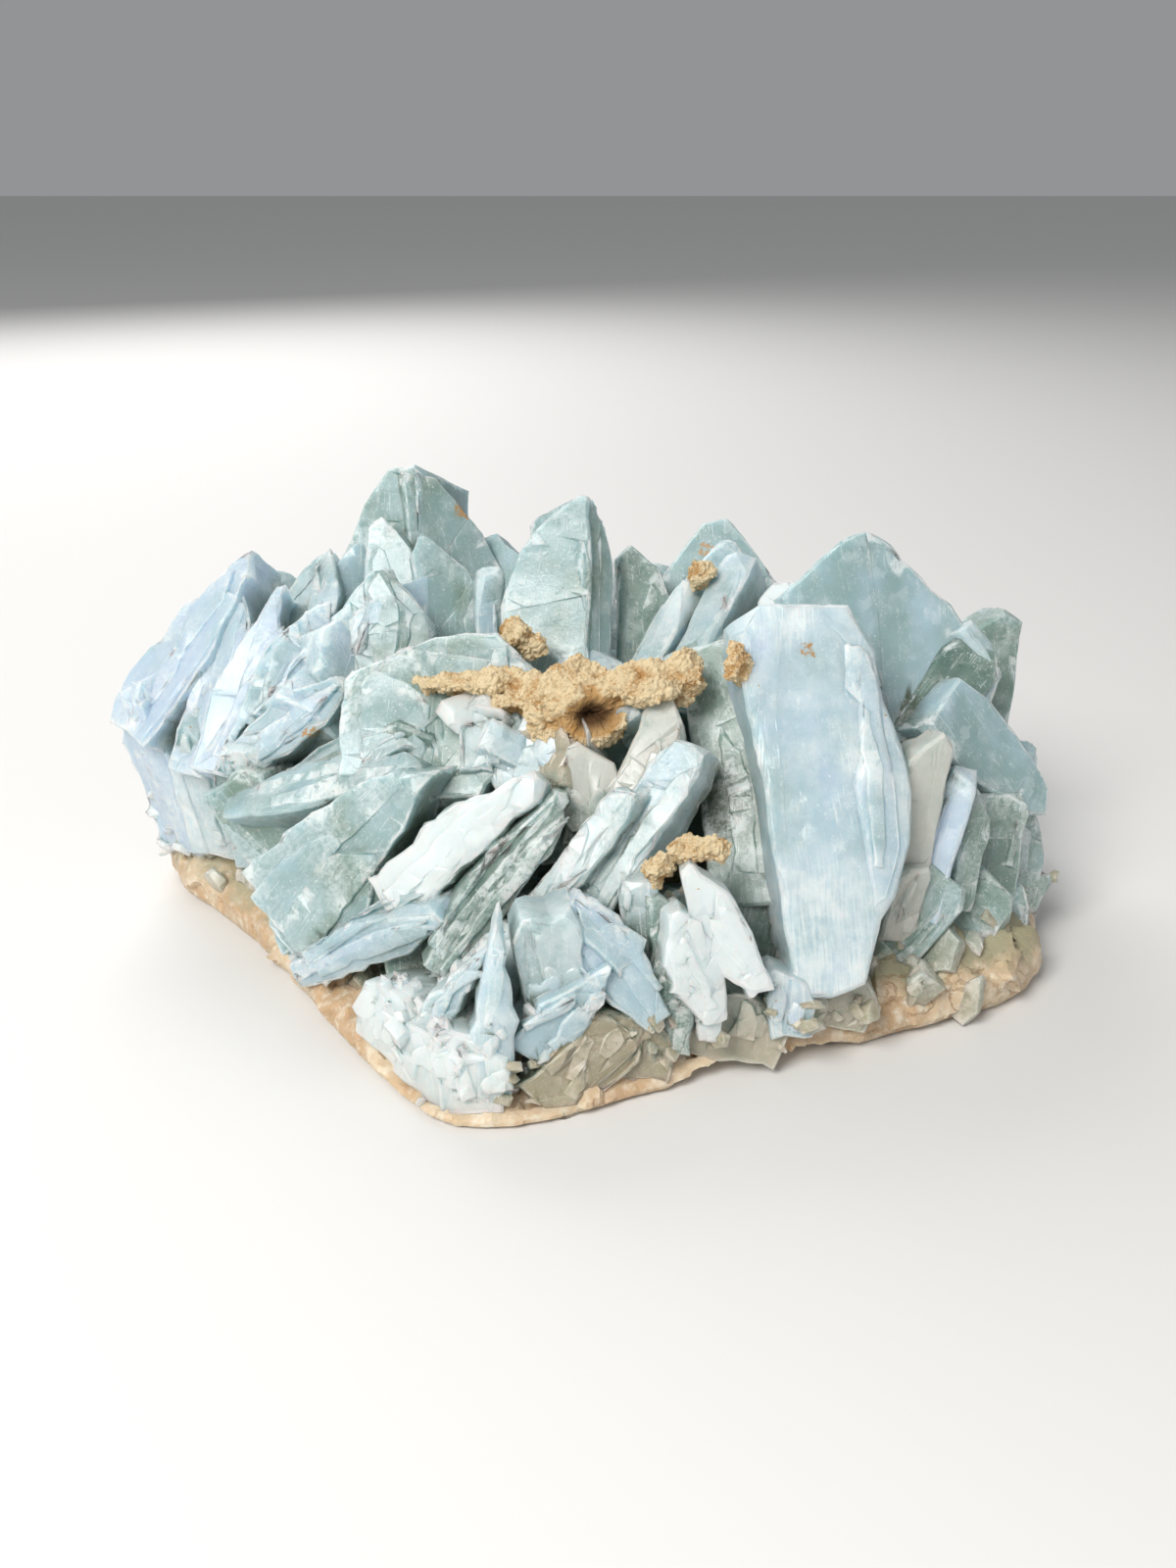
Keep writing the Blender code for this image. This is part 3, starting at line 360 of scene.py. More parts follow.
# The sides and the back, which fan out in the same way
BACK_FAN: tuple[Crystal, ...] = (
    Crystal("back_left_low", (-38, 22, 12), (-74, 30, 20), 16, 9, (-0.2, 0.5, 0.8), Form.BLADE, Tint.SKY),
    Crystal("back_left", (-32, 18, 16), (-68, 34, 40), 18, 8, (-0.3, 0.55, 0.75), Form.ROOF, Tint.LAVENDER),
    Crystal("back_left_high", (-30, 16, 22), (-58, 30, 54), 16, 8, (-0.35, 0.7, 0.5), Form.SPEAR, Tint.SKY),
    Crystal("back_corner", (-26, 22, 14), (-54, 51, 30), 18, 8, (-0.2, 0.5, 0.8), Form.SLANT, Tint.AQUA),
    Crystal("back_corner_high", (-22, 18, 22), (-44, 44, 50), 17, 9, (-0.2, 0.7, 0.6), Form.ROOF, Tint.SKY),
    Crystal("back_one", (-14, 22, 12), (-32, 60, 24), 20, 8, (0, 0.4, 0.85), Form.BLADE, Tint.PALE),
    Crystal("back_two", (-10, 18, 20), (-24, 54, 43), 20, 9, (-0.1, 0.6, 0.75), Form.SPEAR, Tint.AQUA),
    Crystal("back_three", (-4, 20, 14), (-4, 63, 30), 22, 8, (0.05, 0.45, 0.85), Form.ROOF, Tint.SKY),
    Crystal("back_four", (4, 16, 22), (2, 50, 46), 18, 9, (0.1, 0.65, 0.7), Form.SLANT, Tint.AQUA),
    Crystal("back_five", (12, 22, 12), (24, 60, 22), 20, 8, (0.1, 0.4, 0.85), Form.BLADE, Tint.PALE),
    Crystal("back_six", (16, 18, 20), (26, 54, 42), 20, 9, (0.15, 0.6, 0.75), Form.ROOF, Tint.SKY),
    Crystal("back_seven", (24, 20, 12), (48, 52, 24), 19, 8, (0.2, 0.45, 0.8), Form.SLANT, Tint.AQUA),
    Crystal("back_eight", (26, 16, 22), (44, 44, 46), 17, 9, (0.25, 0.65, 0.65), Form.SPEAR, Tint.LAVENDER),
    Crystal("right_side_low", (36, 12, 12), (70, 32, 20), 18, 9, (0.2, 0.4, 0.85), Form.BLADE, Tint.PALE),
    Crystal("right_side", (36, 8, 18), (68, 26, 38), 18, 9, (0.3, 0.55, 0.75), Form.ROOF, Tint.AQUA),
    Crystal("right_side_front", (40, 0, 12), (80.1, 8, 24), 16, 10, (0.35, -0.2, 0.9), Form.SLANT, Tint.SKY),
    Crystal("right_side_high", (40, 4, 22), (70, 14, 42), 16, 10, (0.4, -0.1, 0.85), Form.ROOF, Tint.AQUA),
    Crystal("top_left", (-40, 16, 30), (-42, 34, 58), 15, 9, (-0.2, 0.8, 0.5), Form.SLANT, Tint.SKY),
    Crystal("top_middle", (-10, 16, 30), (-14, 38, 54), 18, 9, (0, 0.8, 0.5), Form.ROOF, Tint.AQUA),
    Crystal("top_right", (20, 18, 30), (14, 38, 52), 16, 9, (0.1, 0.8, 0.5), Form.SLANT, Tint.AQUA, True),
    Crystal("top_far_right", (40, 10, 30), (50, 24, 52), 16, 9, (0.3, 0.7, 0.6), Form.ROOF, Tint.SKY),
)

# Tilted crystals between the top row and the front ones
MIDDLE_TOP: tuple[Crystal, ...] = (
    Crystal("middle_left", (-15, -17, 40), (-17, -1, 49), 16, 8, (0, -0.5, 0.85), Form.SLAB, Tint.SKY),
    Crystal("middle_low", (1, -19, 40), (4, -3, 48.5), 17, 9, (0.05, -0.45, 0.9), Form.SLANT, Tint.PALE),
    Crystal("middle_right", (18, -15, 40), (21, 0, 50), 17, 9, (0.1, -0.5, 0.85), Form.ROOF, Tint.AQUA),
    Crystal("middle_foot", (-16, -54, 10), (-13, -43, 24), 13, 8, (0, -0.6, 0.8), Form.SLANT, Tint.PALE),
)

# The thick roots in the middle, which the others grow out of
UNDER_CRUST: tuple[Crystal, ...] = (
    Crystal("peach_left", (-8, -22, 32), (-7, -28, 43), 7, 5, (-0.2, -0.9, 0.3), Form.SLANT, Tint.PEACH),
    Crystal("peach_middle", (-4, -22, 30), (-3, -31, 42), 7, 6, (0.2, -0.9, 0.3), Form.ROOF, Tint.PEACH),
    Crystal("peach_right", (2, -22, 30), (0, -30, 43), 6, 6, (0.1, -0.9, 0.2), Form.SPEAR, Tint.CREAM),
    Crystal("peach_low", (-5, -25, 27), (-6, -34, 38), 8, 6, (-0.1, -0.8, 0.5), Form.SLANT, Tint.PEACH, True),
    Crystal("clear_back", (8, -18, 32), (5, -27, 46), 11, 6, (0, -0.9, 0.3), Form.ROOF, Tint.PALE),
    Crystal("clear_shards", (-14, -18, 36), (-17, -27, 46), 8, 5, (-0.1, -0.7, 0.6), Form.SLANT, Tint.MILKY),
    Crystal("clear_sliver", (-9, -18, 36), (-12, -27, 46), 6, 5, (0.1, -0.7, 0.6), Form.SPEAR, Tint.MILKY, True),
    Crystal("clear_low", (-12, -24, 32), (-13, -31, 42), 8, 5, (-0.2, -0.8, 0.4), Form.SLANT, Tint.PALE),
)
ROOTS: tuple[Crystal, ...] = (
    Crystal("root_left", (-34, -8, 10), (-56, -6, 38), 28, 22, (-0.6, -0.7, 0), Form.SLAB, Tint.SKY),
    Crystal("root_fan", (-24, -26, 12), (-38, -22, 38), 30, 20, (-0.2, -0.9, 0), Form.SLAB, Tint.SHADE),
    Crystal("root_left_back", (-34, 16, 10), (-50, 22, 44), 32, 26, (-0.6, 0.6, 0), Form.SLAB, Tint.SKY),
    Crystal("root_middle", (-14, 2, 10), (-18, 10, 48), 40, 26, (-0.1, -1, 0), Form.SLANT, Tint.AQUA),
    Crystal("root_crust", (-6, -14, 10), (-8, -12, 42), 34, 24, (0, -1, 0), Form.SLANT, Tint.SHADE),
    Crystal("root_back", (0, 30, 10), (0, 33, 36), 58, 22, (0, 1, 0), Form.SLAB, Tint.AQUA),
    Crystal("root_centre", (18, 0, 10), (18, 8, 49), 36, 26, (0.1, -1, 0), Form.SLANT, Tint.GREEN, True),
    Crystal("root_right", (42, -2, 10), (52, 0, 44), 34, 28, (0.3, -0.9, 0), Form.SLAB, Tint.GREEN),
    Crystal("root_plate", (34, -24, 10), (38, -18, 38), 34, 22, (0.1, -1, 0), Form.SLAB, Tint.TEAL),
    Crystal("root_front", (-12, -42, 6), (-12, -38, 22), 38, 20, (0, -1, 0), Form.SLAB, Tint.SHADE),
    Crystal("root_front_right", (24, -42, 6), (26, -36, 20), 34, 18, (0.1, -1, 0), Form.SLAB, Tint.SHADE),
)


@dataclass(frozen=True)
class Family:
    """Crystals that are worked alike."""

    crystals: tuple[Crystal, ...]
    cut: Cut
    growth: Optional[Growth] = None


WELD = 0.00001
SLACK = 0.0004
TRIES = 8
BLOCK_CUT = Cut(steps=1, rise=0.3)
BACK_CUT = Cut(rim=0.5, ragged=0.5, segment=3.2, steps=2, rise=0.6, facets=4, bite=3.0)
FAN_CUT = Cut(rim=0.5, ragged=0.4, segment=2.6, steps=2, rise=0.5)
FOOT_CUT = Cut(rim=0.5, ragged=0.3, segment=2.0, steps=2, rise=0.4)
ROOT_CUT = Cut(rim=0.6, steps=0, facets=0, segment=8.0)
BLADE_CUT = Cut(rim=0.3, ragged=0.25, segment=1.8, steps=0, rise=0.25, facets=2, bite=0.7)
GRAIN_CUT = Cut(rim=0.3, ragged=0.15, segment=2.5, steps=0, facets=3, bite=1.5)
FAMILIES = (
    Family(TOP_ROW, BLOCK_CUT, Growth(260, 1, (0.3, 0.5), (0.25, 0.45), turn=2.0)),
    Family(RIGHT_FRONT, BLOCK_CUT, Growth(300, 1, (0.3, 0.6), (0.2, 0.4), turn=2.0)),
    Family(MIDDLE_FRONT, FOOT_CUT, Growth(70, 3, (0.3, 0.6), (0.3, 0.5), turn=6.0)),
    Family(LEFT_FAN, FAN_CUT, Growth(60, 5, (0.5, 0.9), (0.22, 0.45), proud=(0.0, 0.6))),
    Family(FRONT_FOOT, FOOT_CUT, Growth(40, 4, (0.25, 0.55), (0.25, 0.5), (1.2, 2.5), turn=14.0)),
    Family(BACK_FAN, BACK_CUT, Growth(110, 4, (0.4, 0.75), (0.3, 0.55), (2.0, 4.0), proud=(0.3, 1.2))),
    Family(MIDDLE_TOP, BLOCK_CUT, Growth(90, 3, (0.3, 0.6), (0.25, 0.45), turn=6.0)),
    Family(UNDER_CRUST, FOOT_CUT, Growth(20, 2, (0.3, 0.6), (0.3, 0.5), (1.2, 2.5), turn=14.0)),
    Family(ROOTS, ROOT_CUT),
)


class CrystalCutter:
    """Cuts crystals as closed shapes, each in its place."""

    def __init__(self, holder: bpy.types.Collection) -> None:
        """Keeps the collection that the crystals go in.

        Args:
            holder: The collection for the crystals.
        """
        self.holder = holder

    def ragged(self, crystal: Crystal, cut: Cut, chance: random.Random) -> list[Vector]:
        """Breaks the edges of a crystal's outline into short uneven ones.

        Args:
            crystal: The crystal.
            cut: How it is worked.
            chance: The source of its unevenness.

        Returns:
            The points of the outline in the crystal's own frame.
        """
        corners, points = crystal.outline(), []
        for here, there in zip(corners, corners[1:] + corners[:1]):
            run = there - here
            inward = UP.cross(run).normalized()
            count = max(1, round(run.length / (cut.segment * MM)))
            for i in range(count):
                share = i / count if i == 0 else (i + chance.uniform(-0.3, 0.3)) / count
                depth = abs(chance.gauss(0, cut.ragged)) if i else chance.uniform(0, cut.ragged)
                points.append(here + run * share + inward * depth * MM)
        return points

    def blank(self, points: list[Vector], thick: float, cut: Cut) -> bpy.types.Object:
        """A plate with the outline given, whose upper rim slopes.

        Args:
            points: The outline.
            thick: The thickness in metres.
            cut: How it is worked.

        Returns:
            The plate, in edit mode with all of it selected.
        """
        bpy.ops.object.select_all(action="DESELECT")
        bpy.ops.mesh.primitive_circle_add(vertices=len(points), radius=thick, fill_type="NGON")
        plate = bpy.context.object
        for vertex, point in zip(plate.data.vertices, points):
            vertex.co = point - UP * thick / 2
        rim = min(cut.rim * MM, thick * 0.3)
        bpy.ops.object.mode_set(mode="EDIT")
        bpy.ops.mesh.select_mode(type="FACE")
        bpy.ops.mesh.select_all(action="SELECT")
        bpy.ops.mesh.extrude_region_move(TRANSFORM_OT_translate={"value": (0, 0, thick - rim)})
        bpy.ops.mesh.inset(thickness=rim * 0.8, depth=rim)
        face_outwards(plate)
        return plate

    def pick(self, plate: bpy.types.Object, test: Any) -> int:
        """Selects the faces of the broad side that pass a test.

        Args:
            plate: The crystal, in edit mode.
            test: A function of a face's middle.

        Returns:
            How many faces are selected.
        """
        shape = bmesh.from_edit_mesh(plate.data)
        found = 0
        for face in shape.faces:
            wanted = face.normal.z > 0.95 and test(face.calc_center_median())
            face.select_set(wanted)
            found += wanted
        bmesh.update_edit_mesh(plate.data)
        return found

    def step(self, plate: bpy.types.Object, at: Vector, turn: float, rise: float, ledge: float) -> None:
        """Raises or sinks the part of the broad side that lies on one side of a line.

        Args:
            plate: The crystal, in edit mode.
            at: A point of the line.
            turn: The line's angle from the crystal's length.
            rise: How far the part rises, in metres.
            ledge: How far its rim steps in, in metres.
        """
        normal = Vector((math.cos(turn), math.sin(turn), 0))
        if not self.pick(plate, lambda middle: True):
            return
        bpy.ops.mesh.bisect(plane_co=at, plane_no=normal)
        if self.pick(plate, lambda middle: (middle - at).dot(normal) > 0):
            bpy.ops.mesh.inset(thickness=ledge, depth=rise)
        put_in_order(plate)

    def facet(self, plate: bpy.types.Object, normal: Vector, bite: float) -> None:
        """Breaks a corner off along a plane.

        Args:
            plate: The crystal, in edit mode.
            normal: Where the new facet looks.
            bite: How deep it goes, in metres.
        """
        bpy.ops.mesh.select_all(action="SELECT")
        bpy.ops.mesh.quads_convert_to_tris()
        put_in_order(plate)
        shape = bmesh.from_edit_mesh(plate.data)
        reach = max(vertex.co.dot(normal) for vertex in shape.verts)
        bpy.ops.mesh.select_all(action="SELECT")
        bpy.ops.mesh.bisect(
            plane_co=normal * (reach - bite), plane_no=normal, use_fill=True, clear_outer=True
        )
        bpy.ops.mesh.select_all(action="SELECT")
        bpy.ops.mesh.quads_convert_to_tris(ngon_method="CLIP")
        put_in_order(plate)

    def mark(self, plate: bpy.types.Object, crystal: Crystal, chance: random.Random) -> None:
        """Notes on the mesh what the finish reads: the grain's frame, the tint and the frosted faces.

        Args:
            plate: The crystal, in object mode and in its own frame.
            crystal: What it is.
            chance: The source of its shift.
        """
        mesh = plate.data
        hue, milk, warm = crystal.tint.value
        shift = Vector((chance.uniform(0, 90), chance.uniform(0, 90), chance.uniform(0, 90)))
        grain = mesh.attributes.new("grain", "FLOAT_VECTOR", "CORNER")
        values = [mesh.vertices[loop.vertex_index].co / MM + shift for loop in mesh.loops]
        grain.data.foreach_set("vector", np.array(values, np.float32).ravel())
        habit = mesh.attributes.new("habit", "FLOAT_VECTOR", "FACE")
        spread = chance.uniform(-0.08, 0.08), chance.uniform(-0.08, 0.08)
        habit.data.foreach_set("vector", [hue + spread[0], milk + spread[1], warm] * len(mesh.polygons))
        frost = mesh.attributes.new("frost", "FLOAT", "FACE")
        slopes = [0.0 if abs(face.normal.z) > 0.97 else 1.0 if face.normal.z > 0.1 else 0.35 for face in mesh.polygons]
        frost.data.foreach_set("value", slopes)

    def work(self, crystal: Crystal, cut: Cut, chance: random.Random) -> bpy.types.Object:
        """Cuts one crystal's plate, with its steps and its facets.

        Args:
            crystal: What it is.
            cut: How it is worked.
            chance: The source of its unevenness.

        Returns:
            The plate, in edit mode and in its own frame.
        """
        thick, length, half = crystal.thick * MM, crystal.length(), crystal.width * MM / 2
        plate = self.blank(self.ragged(crystal, cut, chance), thick, cut)
        for _ in range(cut.steps):
            at = Vector((chance.uniform(-0.8, 0.8) * half, chance.uniform(0.3, 0.95) * length, 0))
            turn = math.radians(chance.choice((0, 0, 180, 180, 78, -78, 150)) + chance.gauss(0, 5))
            rise = chance.uniform(-1, 0.25) * cut.rise * MM
            self.step(plate, at, turn, rise, chance.uniform(0.05, 0.3) * MM)
        for _ in range(cut.facets):
            side = chance.choice((-1, 1))
            normal = Vector((side * chance.uniform(0.1, 1), chance.uniform(0, 1), chance.uniform(0, 0.9)))
            self.facet(plate, normal.normalized(), chance.uniform(0.2, 1) * min(cut.bite * MM, thick * 0.25))
        face_outwards(plate)
        return plate

    def is_sound(self, plate: bpy.types.Object, crystal: Crystal) -> bool:
        """Whether a cut crystal is closed and has kept its size.

        Args:
            plate: The crystal, in edit mode and in its own frame.
            crystal: What it is.

        Returns:
            True where it is sound.
        """
        shape = bmesh.from_edit_mesh(plate.data)
        wide = max(abs(s) for s, _ in crystal.form.value) * crystal.width * MM / 2
        low = min(t for _, t in crystal.form.value) * crystal.length()
        high = max(t for _, t in crystal.form.value) * crystal.length()
        deep = crystal.thick * MM / 2
        for vertex in shape.verts:
            x, y, z = vertex.co
            if abs(x) > wide + SLACK or not low - SLACK < y < high + SLACK or abs(z) > deep + SLACK:
                return False
        return all(edge.is_contiguous for edge in shape.edges)

    def make(self, crystal: Crystal, cut: Cut) -> bpy.types.Object:
        """Cuts one crystal, again where a cut has left it open.

        Args:
            crystal: What it is and where.
            cut: How it is worked.

        Returns:
            The crystal, with its place in its mesh.
        """
        for attempt in range(TRIES):
            chance = random.Random(f"{crystal.name} {attempt}")
            last = attempt == TRIES - 1
            tried = Cut(cut.rim, 0, cut.segment, 0, cut.rise, 0, cut.bite) if last else cut
            plate = self.work(crystal, tried, chance)
            sound = self.is_sound(plate, crystal)
            bpy.ops.object.mode_set(mode="OBJECT")
            if sound:
                break
            bpy.data.objects.remove(plate, do_unlink=True)
        plate.name = crystal.name
        self.mark(plate, crystal, chance)
        plate.data.transform(crystal.place())
        for holder in list(plate.users_collection):
            holder.objects.unlink(plate)
        self.holder.objects.link(plate)
        return plate


def face_outwards(piece: bpy.types.Object) -> None:
    """Turns the faces of a closed piece outwards.

    Args:
        piece: The piece, in edit mode.
    """
    bpy.ops.mesh.select_all(action="SELECT")
    bpy.ops.mesh.normals_make_consistent(inside=False)
    if bmesh.from_edit_mesh(piece.data).calc_volume(signed=True) < 0:
        bpy.ops.mesh.flip_normals()


def put_in_order(piece: bpy.types.Object) -> None:
    """Puts the points and faces of a piece in an order that only their places set, so each run cuts alike.

    Args:
        piece: The piece, in edit mode.
    """
    shape = bmesh.from_edit_mesh(piece.data)
    points = sorted(shape.verts, key=lambda vertex: tuple(vertex.co))
    number = {vertex: i for i, vertex in enumerate(points)}
    places, rings = [vertex.co.copy() for vertex in points], []
    for face in shape.faces:
        ring = [number[vertex] for vertex in face.verts]
        first = ring.index(min(ring))
        rings.append(ring[first:] + ring[:first])
    shape.clear()
    made = [shape.verts.new(place) for place in places]
    for ring in sorted(rings):
        corners = [made[i] for i in ring]
        if not shape.faces.get(corners):
            shape.faces.new(corners)
    shape.normal_update()
    bmesh.update_edit_mesh(piece.data)


def within(point: Vector, outline: list[Vector]) -> bool:
    """Whether a flat point lies in an outline.

    Args:
        point: The point.
        outline: The outline's corners.

    Returns:
        True where it lies inside.
    """
    inside = False
    for here, there in zip(outline, outline[1:] + outline[:1]):
        if (here.y > point.y) != (there.y > point.y):
            inside ^= point.x < here.x + (there.x - here.x) * (point.y - here.y) / (there.y - here.y)
    return inside


def blades_on(host: Crystal, growth: Growth) -> list[Crystal]:
    """The small blades that grow along a crystal's broad face.

    Args:
        host: The crystal.
        growth: How many there are and their sizes.

    Returns:
        The blades.
    """
    chance = random.Random("blades on " + host.name)
    across, along, out = host.axes()
    outline, length = host.outline(), host.length() / MM
    count = min(growth.most, max(1, round(host.width * length / growth.area)))
    blades = []
    for i in range(count):
        long = length * chance.uniform(*growth.long)
        turn = math.radians(chance.gauss(0, growth.turn))
        lean = math.radians(chance.gauss(0, growth.turn / 2))
        reach = long / 2 + 0.03 * length
        middle = Vector((chance.uniform(-0.75, 0.75) * host.width / 2, chance.uniform(reach, length - reach), 0))
        flat_run = Vector((math.sin(turn), math.cos(turn), 0)) * long * 0.45
        if not all(within((middle + flat_run * end) * MM, outline) for end in (-1, 0, 1)):
            continue
        run = (along * math.cos(turn) + across * math.sin(turn)) * long / 2
        proud = out * chance.uniform(*growth.proud)
        centre = Vector(host.foot) + across * middle.x + along * middle.y + proud
        face = out * math.cos(lean) + across * math.sin(lean)
        form = chance.choice((Form.BLADE, Form.SLANT, Form.LENS, Form.SHOULDER))
        broad = host.width * chance.uniform(*growth.broad)
        blades.append(
            Crystal(
                f"{host.name}_blade_{i}", tuple(centre - run), tuple(centre + run), broad,
                chance.uniform(*growth.thick), tuple(face), form, host.tint, chance.random() < 0.5,
            )
        )
    return blades


@dataclass(frozen=True)
class GrainZone:
    """Where tiny crystals crowd on the solid: how many, in which box, and how large, in millimetres."""

    name: str
    low: Point
    high: Point
    count: int
    size: Spot
    tint: Tint
    node: str = "barite_crystals"
    sunk: float = 0.7

    def crystals(self) -> list[Crystal]:
        """The tiny crystals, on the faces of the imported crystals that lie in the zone."""
        chance = random.Random(self.name)
        mesh = frame["nodes"][self.node].data
        mesh.calc_loop_triangles()
        faces = []
        for face in mesh.loop_triangles:
            middle = face.center / MM
            if all(low < at < high for low, at, high in zip(self.low, middle, self.high)):
                faces.append(face)
        grains = []
        for i, face in enumerate(chance.choices(faces, [face.area for face in faces], k=self.count)):
            shares = [chance.expovariate(1) for _ in range(3)]
            corners = [mesh.vertices[index].co / MM for index in face.vertices]
            at = sum((corner * share for corner, share in zip(corners, shares)), Vector()) / sum(shares)
            spin = Vector((chance.gauss(0, 1), chance.gauss(0, 1), chance.gauss(0, 1))).normalized()
            run = (face.normal + spin * 0.8).normalized() * chance.uniform(*self.size)
            grains.append(
                Crystal(
                    f"{self.name}_{i}", tuple(at - run * self.sunk), tuple(at + run * (1 - self.sunk)),
                    run.length * chance.uniform(0.5, 1.1), run.length * chance.uniform(0.3, 0.7),
                    tuple(run.orthogonal() + spin * 0.5), chance.choice(GRAIN_FORMS), self.tint,
                )
            )
        return grains


GRAIN_FORMS = (Form.SLANT, Form.ROOF, Form.SPEAR, Form.BLADE)
GRAIN_ZONES = (
    GrainZone("grain_front", (-32, -66, 3), (-8, -46, 15), 70, (1.8, 3.8), Tint.MILKY),
    GrainZone("grain_foot", (-12, -66, 0), (40, -36, 13), 60, (1.8, 3.6), Tint.ROOT),
    GrainZone("grain_left", (-81, -50, 0), (-40, 66, 14), 80, (1.8, 4.0), Tint.MILKY),
    GrainZone("grain_right", (30, -60, 0), (81, 66, 13), 90, (2.0, 4.5), Tint.ROOT),
    GrainZone("grain_back", (-60, 20, 0), (60, 66, 13), 90, (2.0, 4.5), Tint.MILKY),
    GrainZone("skirt_front", (-45, -66, 6.5), (40, -25, 15), 130, (3.0, 6.5), Tint.ROOT, "cream_matrix", 0.84),
    # Tinted dark to paint the shade at the bottom right
    GrainZone("skirt_right", (35, -60, 6.5), (81, 40, 15), 130, (3.5, 8.0), Tint.MOSS, "cream_matrix", 0.84),
    GrainZone("skirt_left", (-81, -50, 6.5), (-35, 66, 15), 90, (3.0, 6.5), Tint.CREAM, "cream_matrix", 0.84),
    GrainZone("skirt_back", (-60, 20, 6.5), (60, 66, 15), 90, (3.5, 8.0), Tint.ROOT, "cream_matrix", 0.84),
)


class Weatherer:
    """Turns the joined shell's clean planes into grown, chipped ones, and measures its crevices for painted shade."""

    def __init__(self, weathering: Weathering) -> None:
        """Keeps the sizes.

        Args:
            weathering: The sizes.
        """
        self.sizes = weathering

    def refine(self, piece: bpy.types.Object) -> None:
        """Splits the long edges of a shell, and its sharp ones more finely.

        Args:
            piece: The shell.
        """
        activate(piece)
        bpy.ops.object.mode_set(mode="EDIT")
        bpy.ops.mesh.select_mode(type="EDGE")
        for _ in range(self.sizes.passes):
            shape = bmesh.from_edit_mesh(piece.data)
            for edge in shape.edges:
                crisp = edge.calc_face_angle_signed(0) > self.sizes.sharp
                limit = self.sizes.fine if crisp else self.sizes.coarse
                edge.select_set(edge.calc_length() > limit * 1.4 * MM)
            bmesh.update_edit_mesh(piece.data)
            bpy.ops.mesh.subdivide(number_cuts=1)
            bpy.ops.mesh.select_all(action="SELECT")
            bpy.ops.mesh.quads_convert_to_tris()
        bpy.ops.object.mode_set(mode="OBJECT")

    def wear_at(self, point: Vector) -> float:
        """How deep an edge is worn at a point.

        Args:
            point: The point, in millimetres.

        Returns:
            The depth in millimetres.
        """
        centre = noise.voronoi(point / self.sizes.chip)[1][0]
        luck = noise.noise(centre * 3.7) + 0.5 * noise.noise(point / 9)
        chip = self.sizes.chip_depth * max(0.0, luck) * 2
        return chip + self.sizes.wear * (1 + noise.noise(point / 0.7))

    def bent(self, point: Vector) -> Vector:
        """Where a point goes when the crystals' planes bend.

        Args:
            point: The point, in millimetres.

        Returns:
            The point's way, in millimetres.
        """
        return sum((noise.noise_vector(point / long) * deep for long, deep in self.sizes.bends), Vector())

    def chip(self, piece: bpy.types.Object) -> None:
        """Chips the sharp edges of a shell and bends its planes, and notes where it is worn.

        Args:
            piece: The shell.
        """
        shape = bmesh.new()
        shape.from_mesh(piece.data)
        worn = shape.verts.layers.float.new("worn")
        for vertex in shape.verts:
            turn = max(edge.calc_face_angle_signed(0) for edge in vertex.link_edges)
            share = (turn - self.sizes.sharp) / (self.sizes.blunt - self.sizes.sharp)
            vertex[worn] = min(1.0, max(0.0, share)) * self.wear_at(vertex.co / MM)
        for vertex in shape.verts:
            move = self.bent(vertex.co / MM) - vertex.normal * vertex[worn]
            vertex.co += move * MM
        shape.to_mesh(piece.data)
        shape.free()
        self.note_rims(piece.data)

    def note_rims(self, mesh: bpy.types.Mesh) -> None:
        """Notes how near each point is to a worn edge, spread over the points around it.

        Args:
            mesh: The shell's mesh.
        """
        count = len(mesh.vertices)
        near, ends = np.empty(count, np.float32), np.empty(len(mesh.edges) * 2, np.int32)
        mesh.attributes["worn"].data.foreach_get("value", near)
        mesh.edges.foreach_get("vertices", ends)
        first, last = ends[::2], ends[1::2]
        links = np.bincount(ends, minlength=count)
        near = np.minimum(near / self.sizes.wear, 1)
        for _ in range(self.sizes.spread):
            total = np.bincount(first, near[last], count) + np.bincount(last, near[first], count)
            near = np.maximum(near * 0.8, total / np.maximum(links, 1))
        mesh.attributes.new("rim", "FLOAT", "POINT").data.foreach_set("value", near.astype(np.float32))

    def note_crevices(self, piece: bpy.types.Object) -> None:
        """Notes how shut in each point of a shell is, from 0 in the open to 1, for the shade that the finish paints in
        its crevices.

        Args:
            piece: The shell.
        """
        mesh = piece.data
        tree = surface_of(piece)
        ways = []
        for i in range(self.sizes.rays):
            rise, turn = 1 - 2 * (i + 0.5) / self.sizes.rays, i * 2.39996
            flat = math.sqrt(1 - rise * rise)
            ways.append(Vector((flat * math.cos(turn), flat * math.sin(turn), rise)))
        reach, shut = self.sizes.reach * MM, []
        for vertex in mesh.vertices:
            normal = vertex.normal
            start = vertex.co + normal * self.sizes.lift * MM
            blocked = total = 0.0
            for way in ways:
                lean = way.dot(normal)
                if lean > 0.15:
                    total += lean
                    hit = tree.ray_cast(start, way, reach)
                    blocked += lean * (1 - hit[3] / reach) if hit[0] else 0
            shut.append(blocked / total if total else 0.0)
        mesh.attributes.new("crevice_shade", "FLOAT", "POINT").data.foreach_set("value", shut)

    def work(self, piece: bpy.types.Object) -> None:
        """Weathers a shell, and notes its crevices for painted shade.

        Args:
            piece: The shell.
        """
        self.refine(piece)
        self.chip(piece)
        keep_inside(piece)
        self.note_crevices(piece)
        activate(piece)
        bpy.ops.object.shade_smooth_by_angle(angle=self.sizes.smooth)


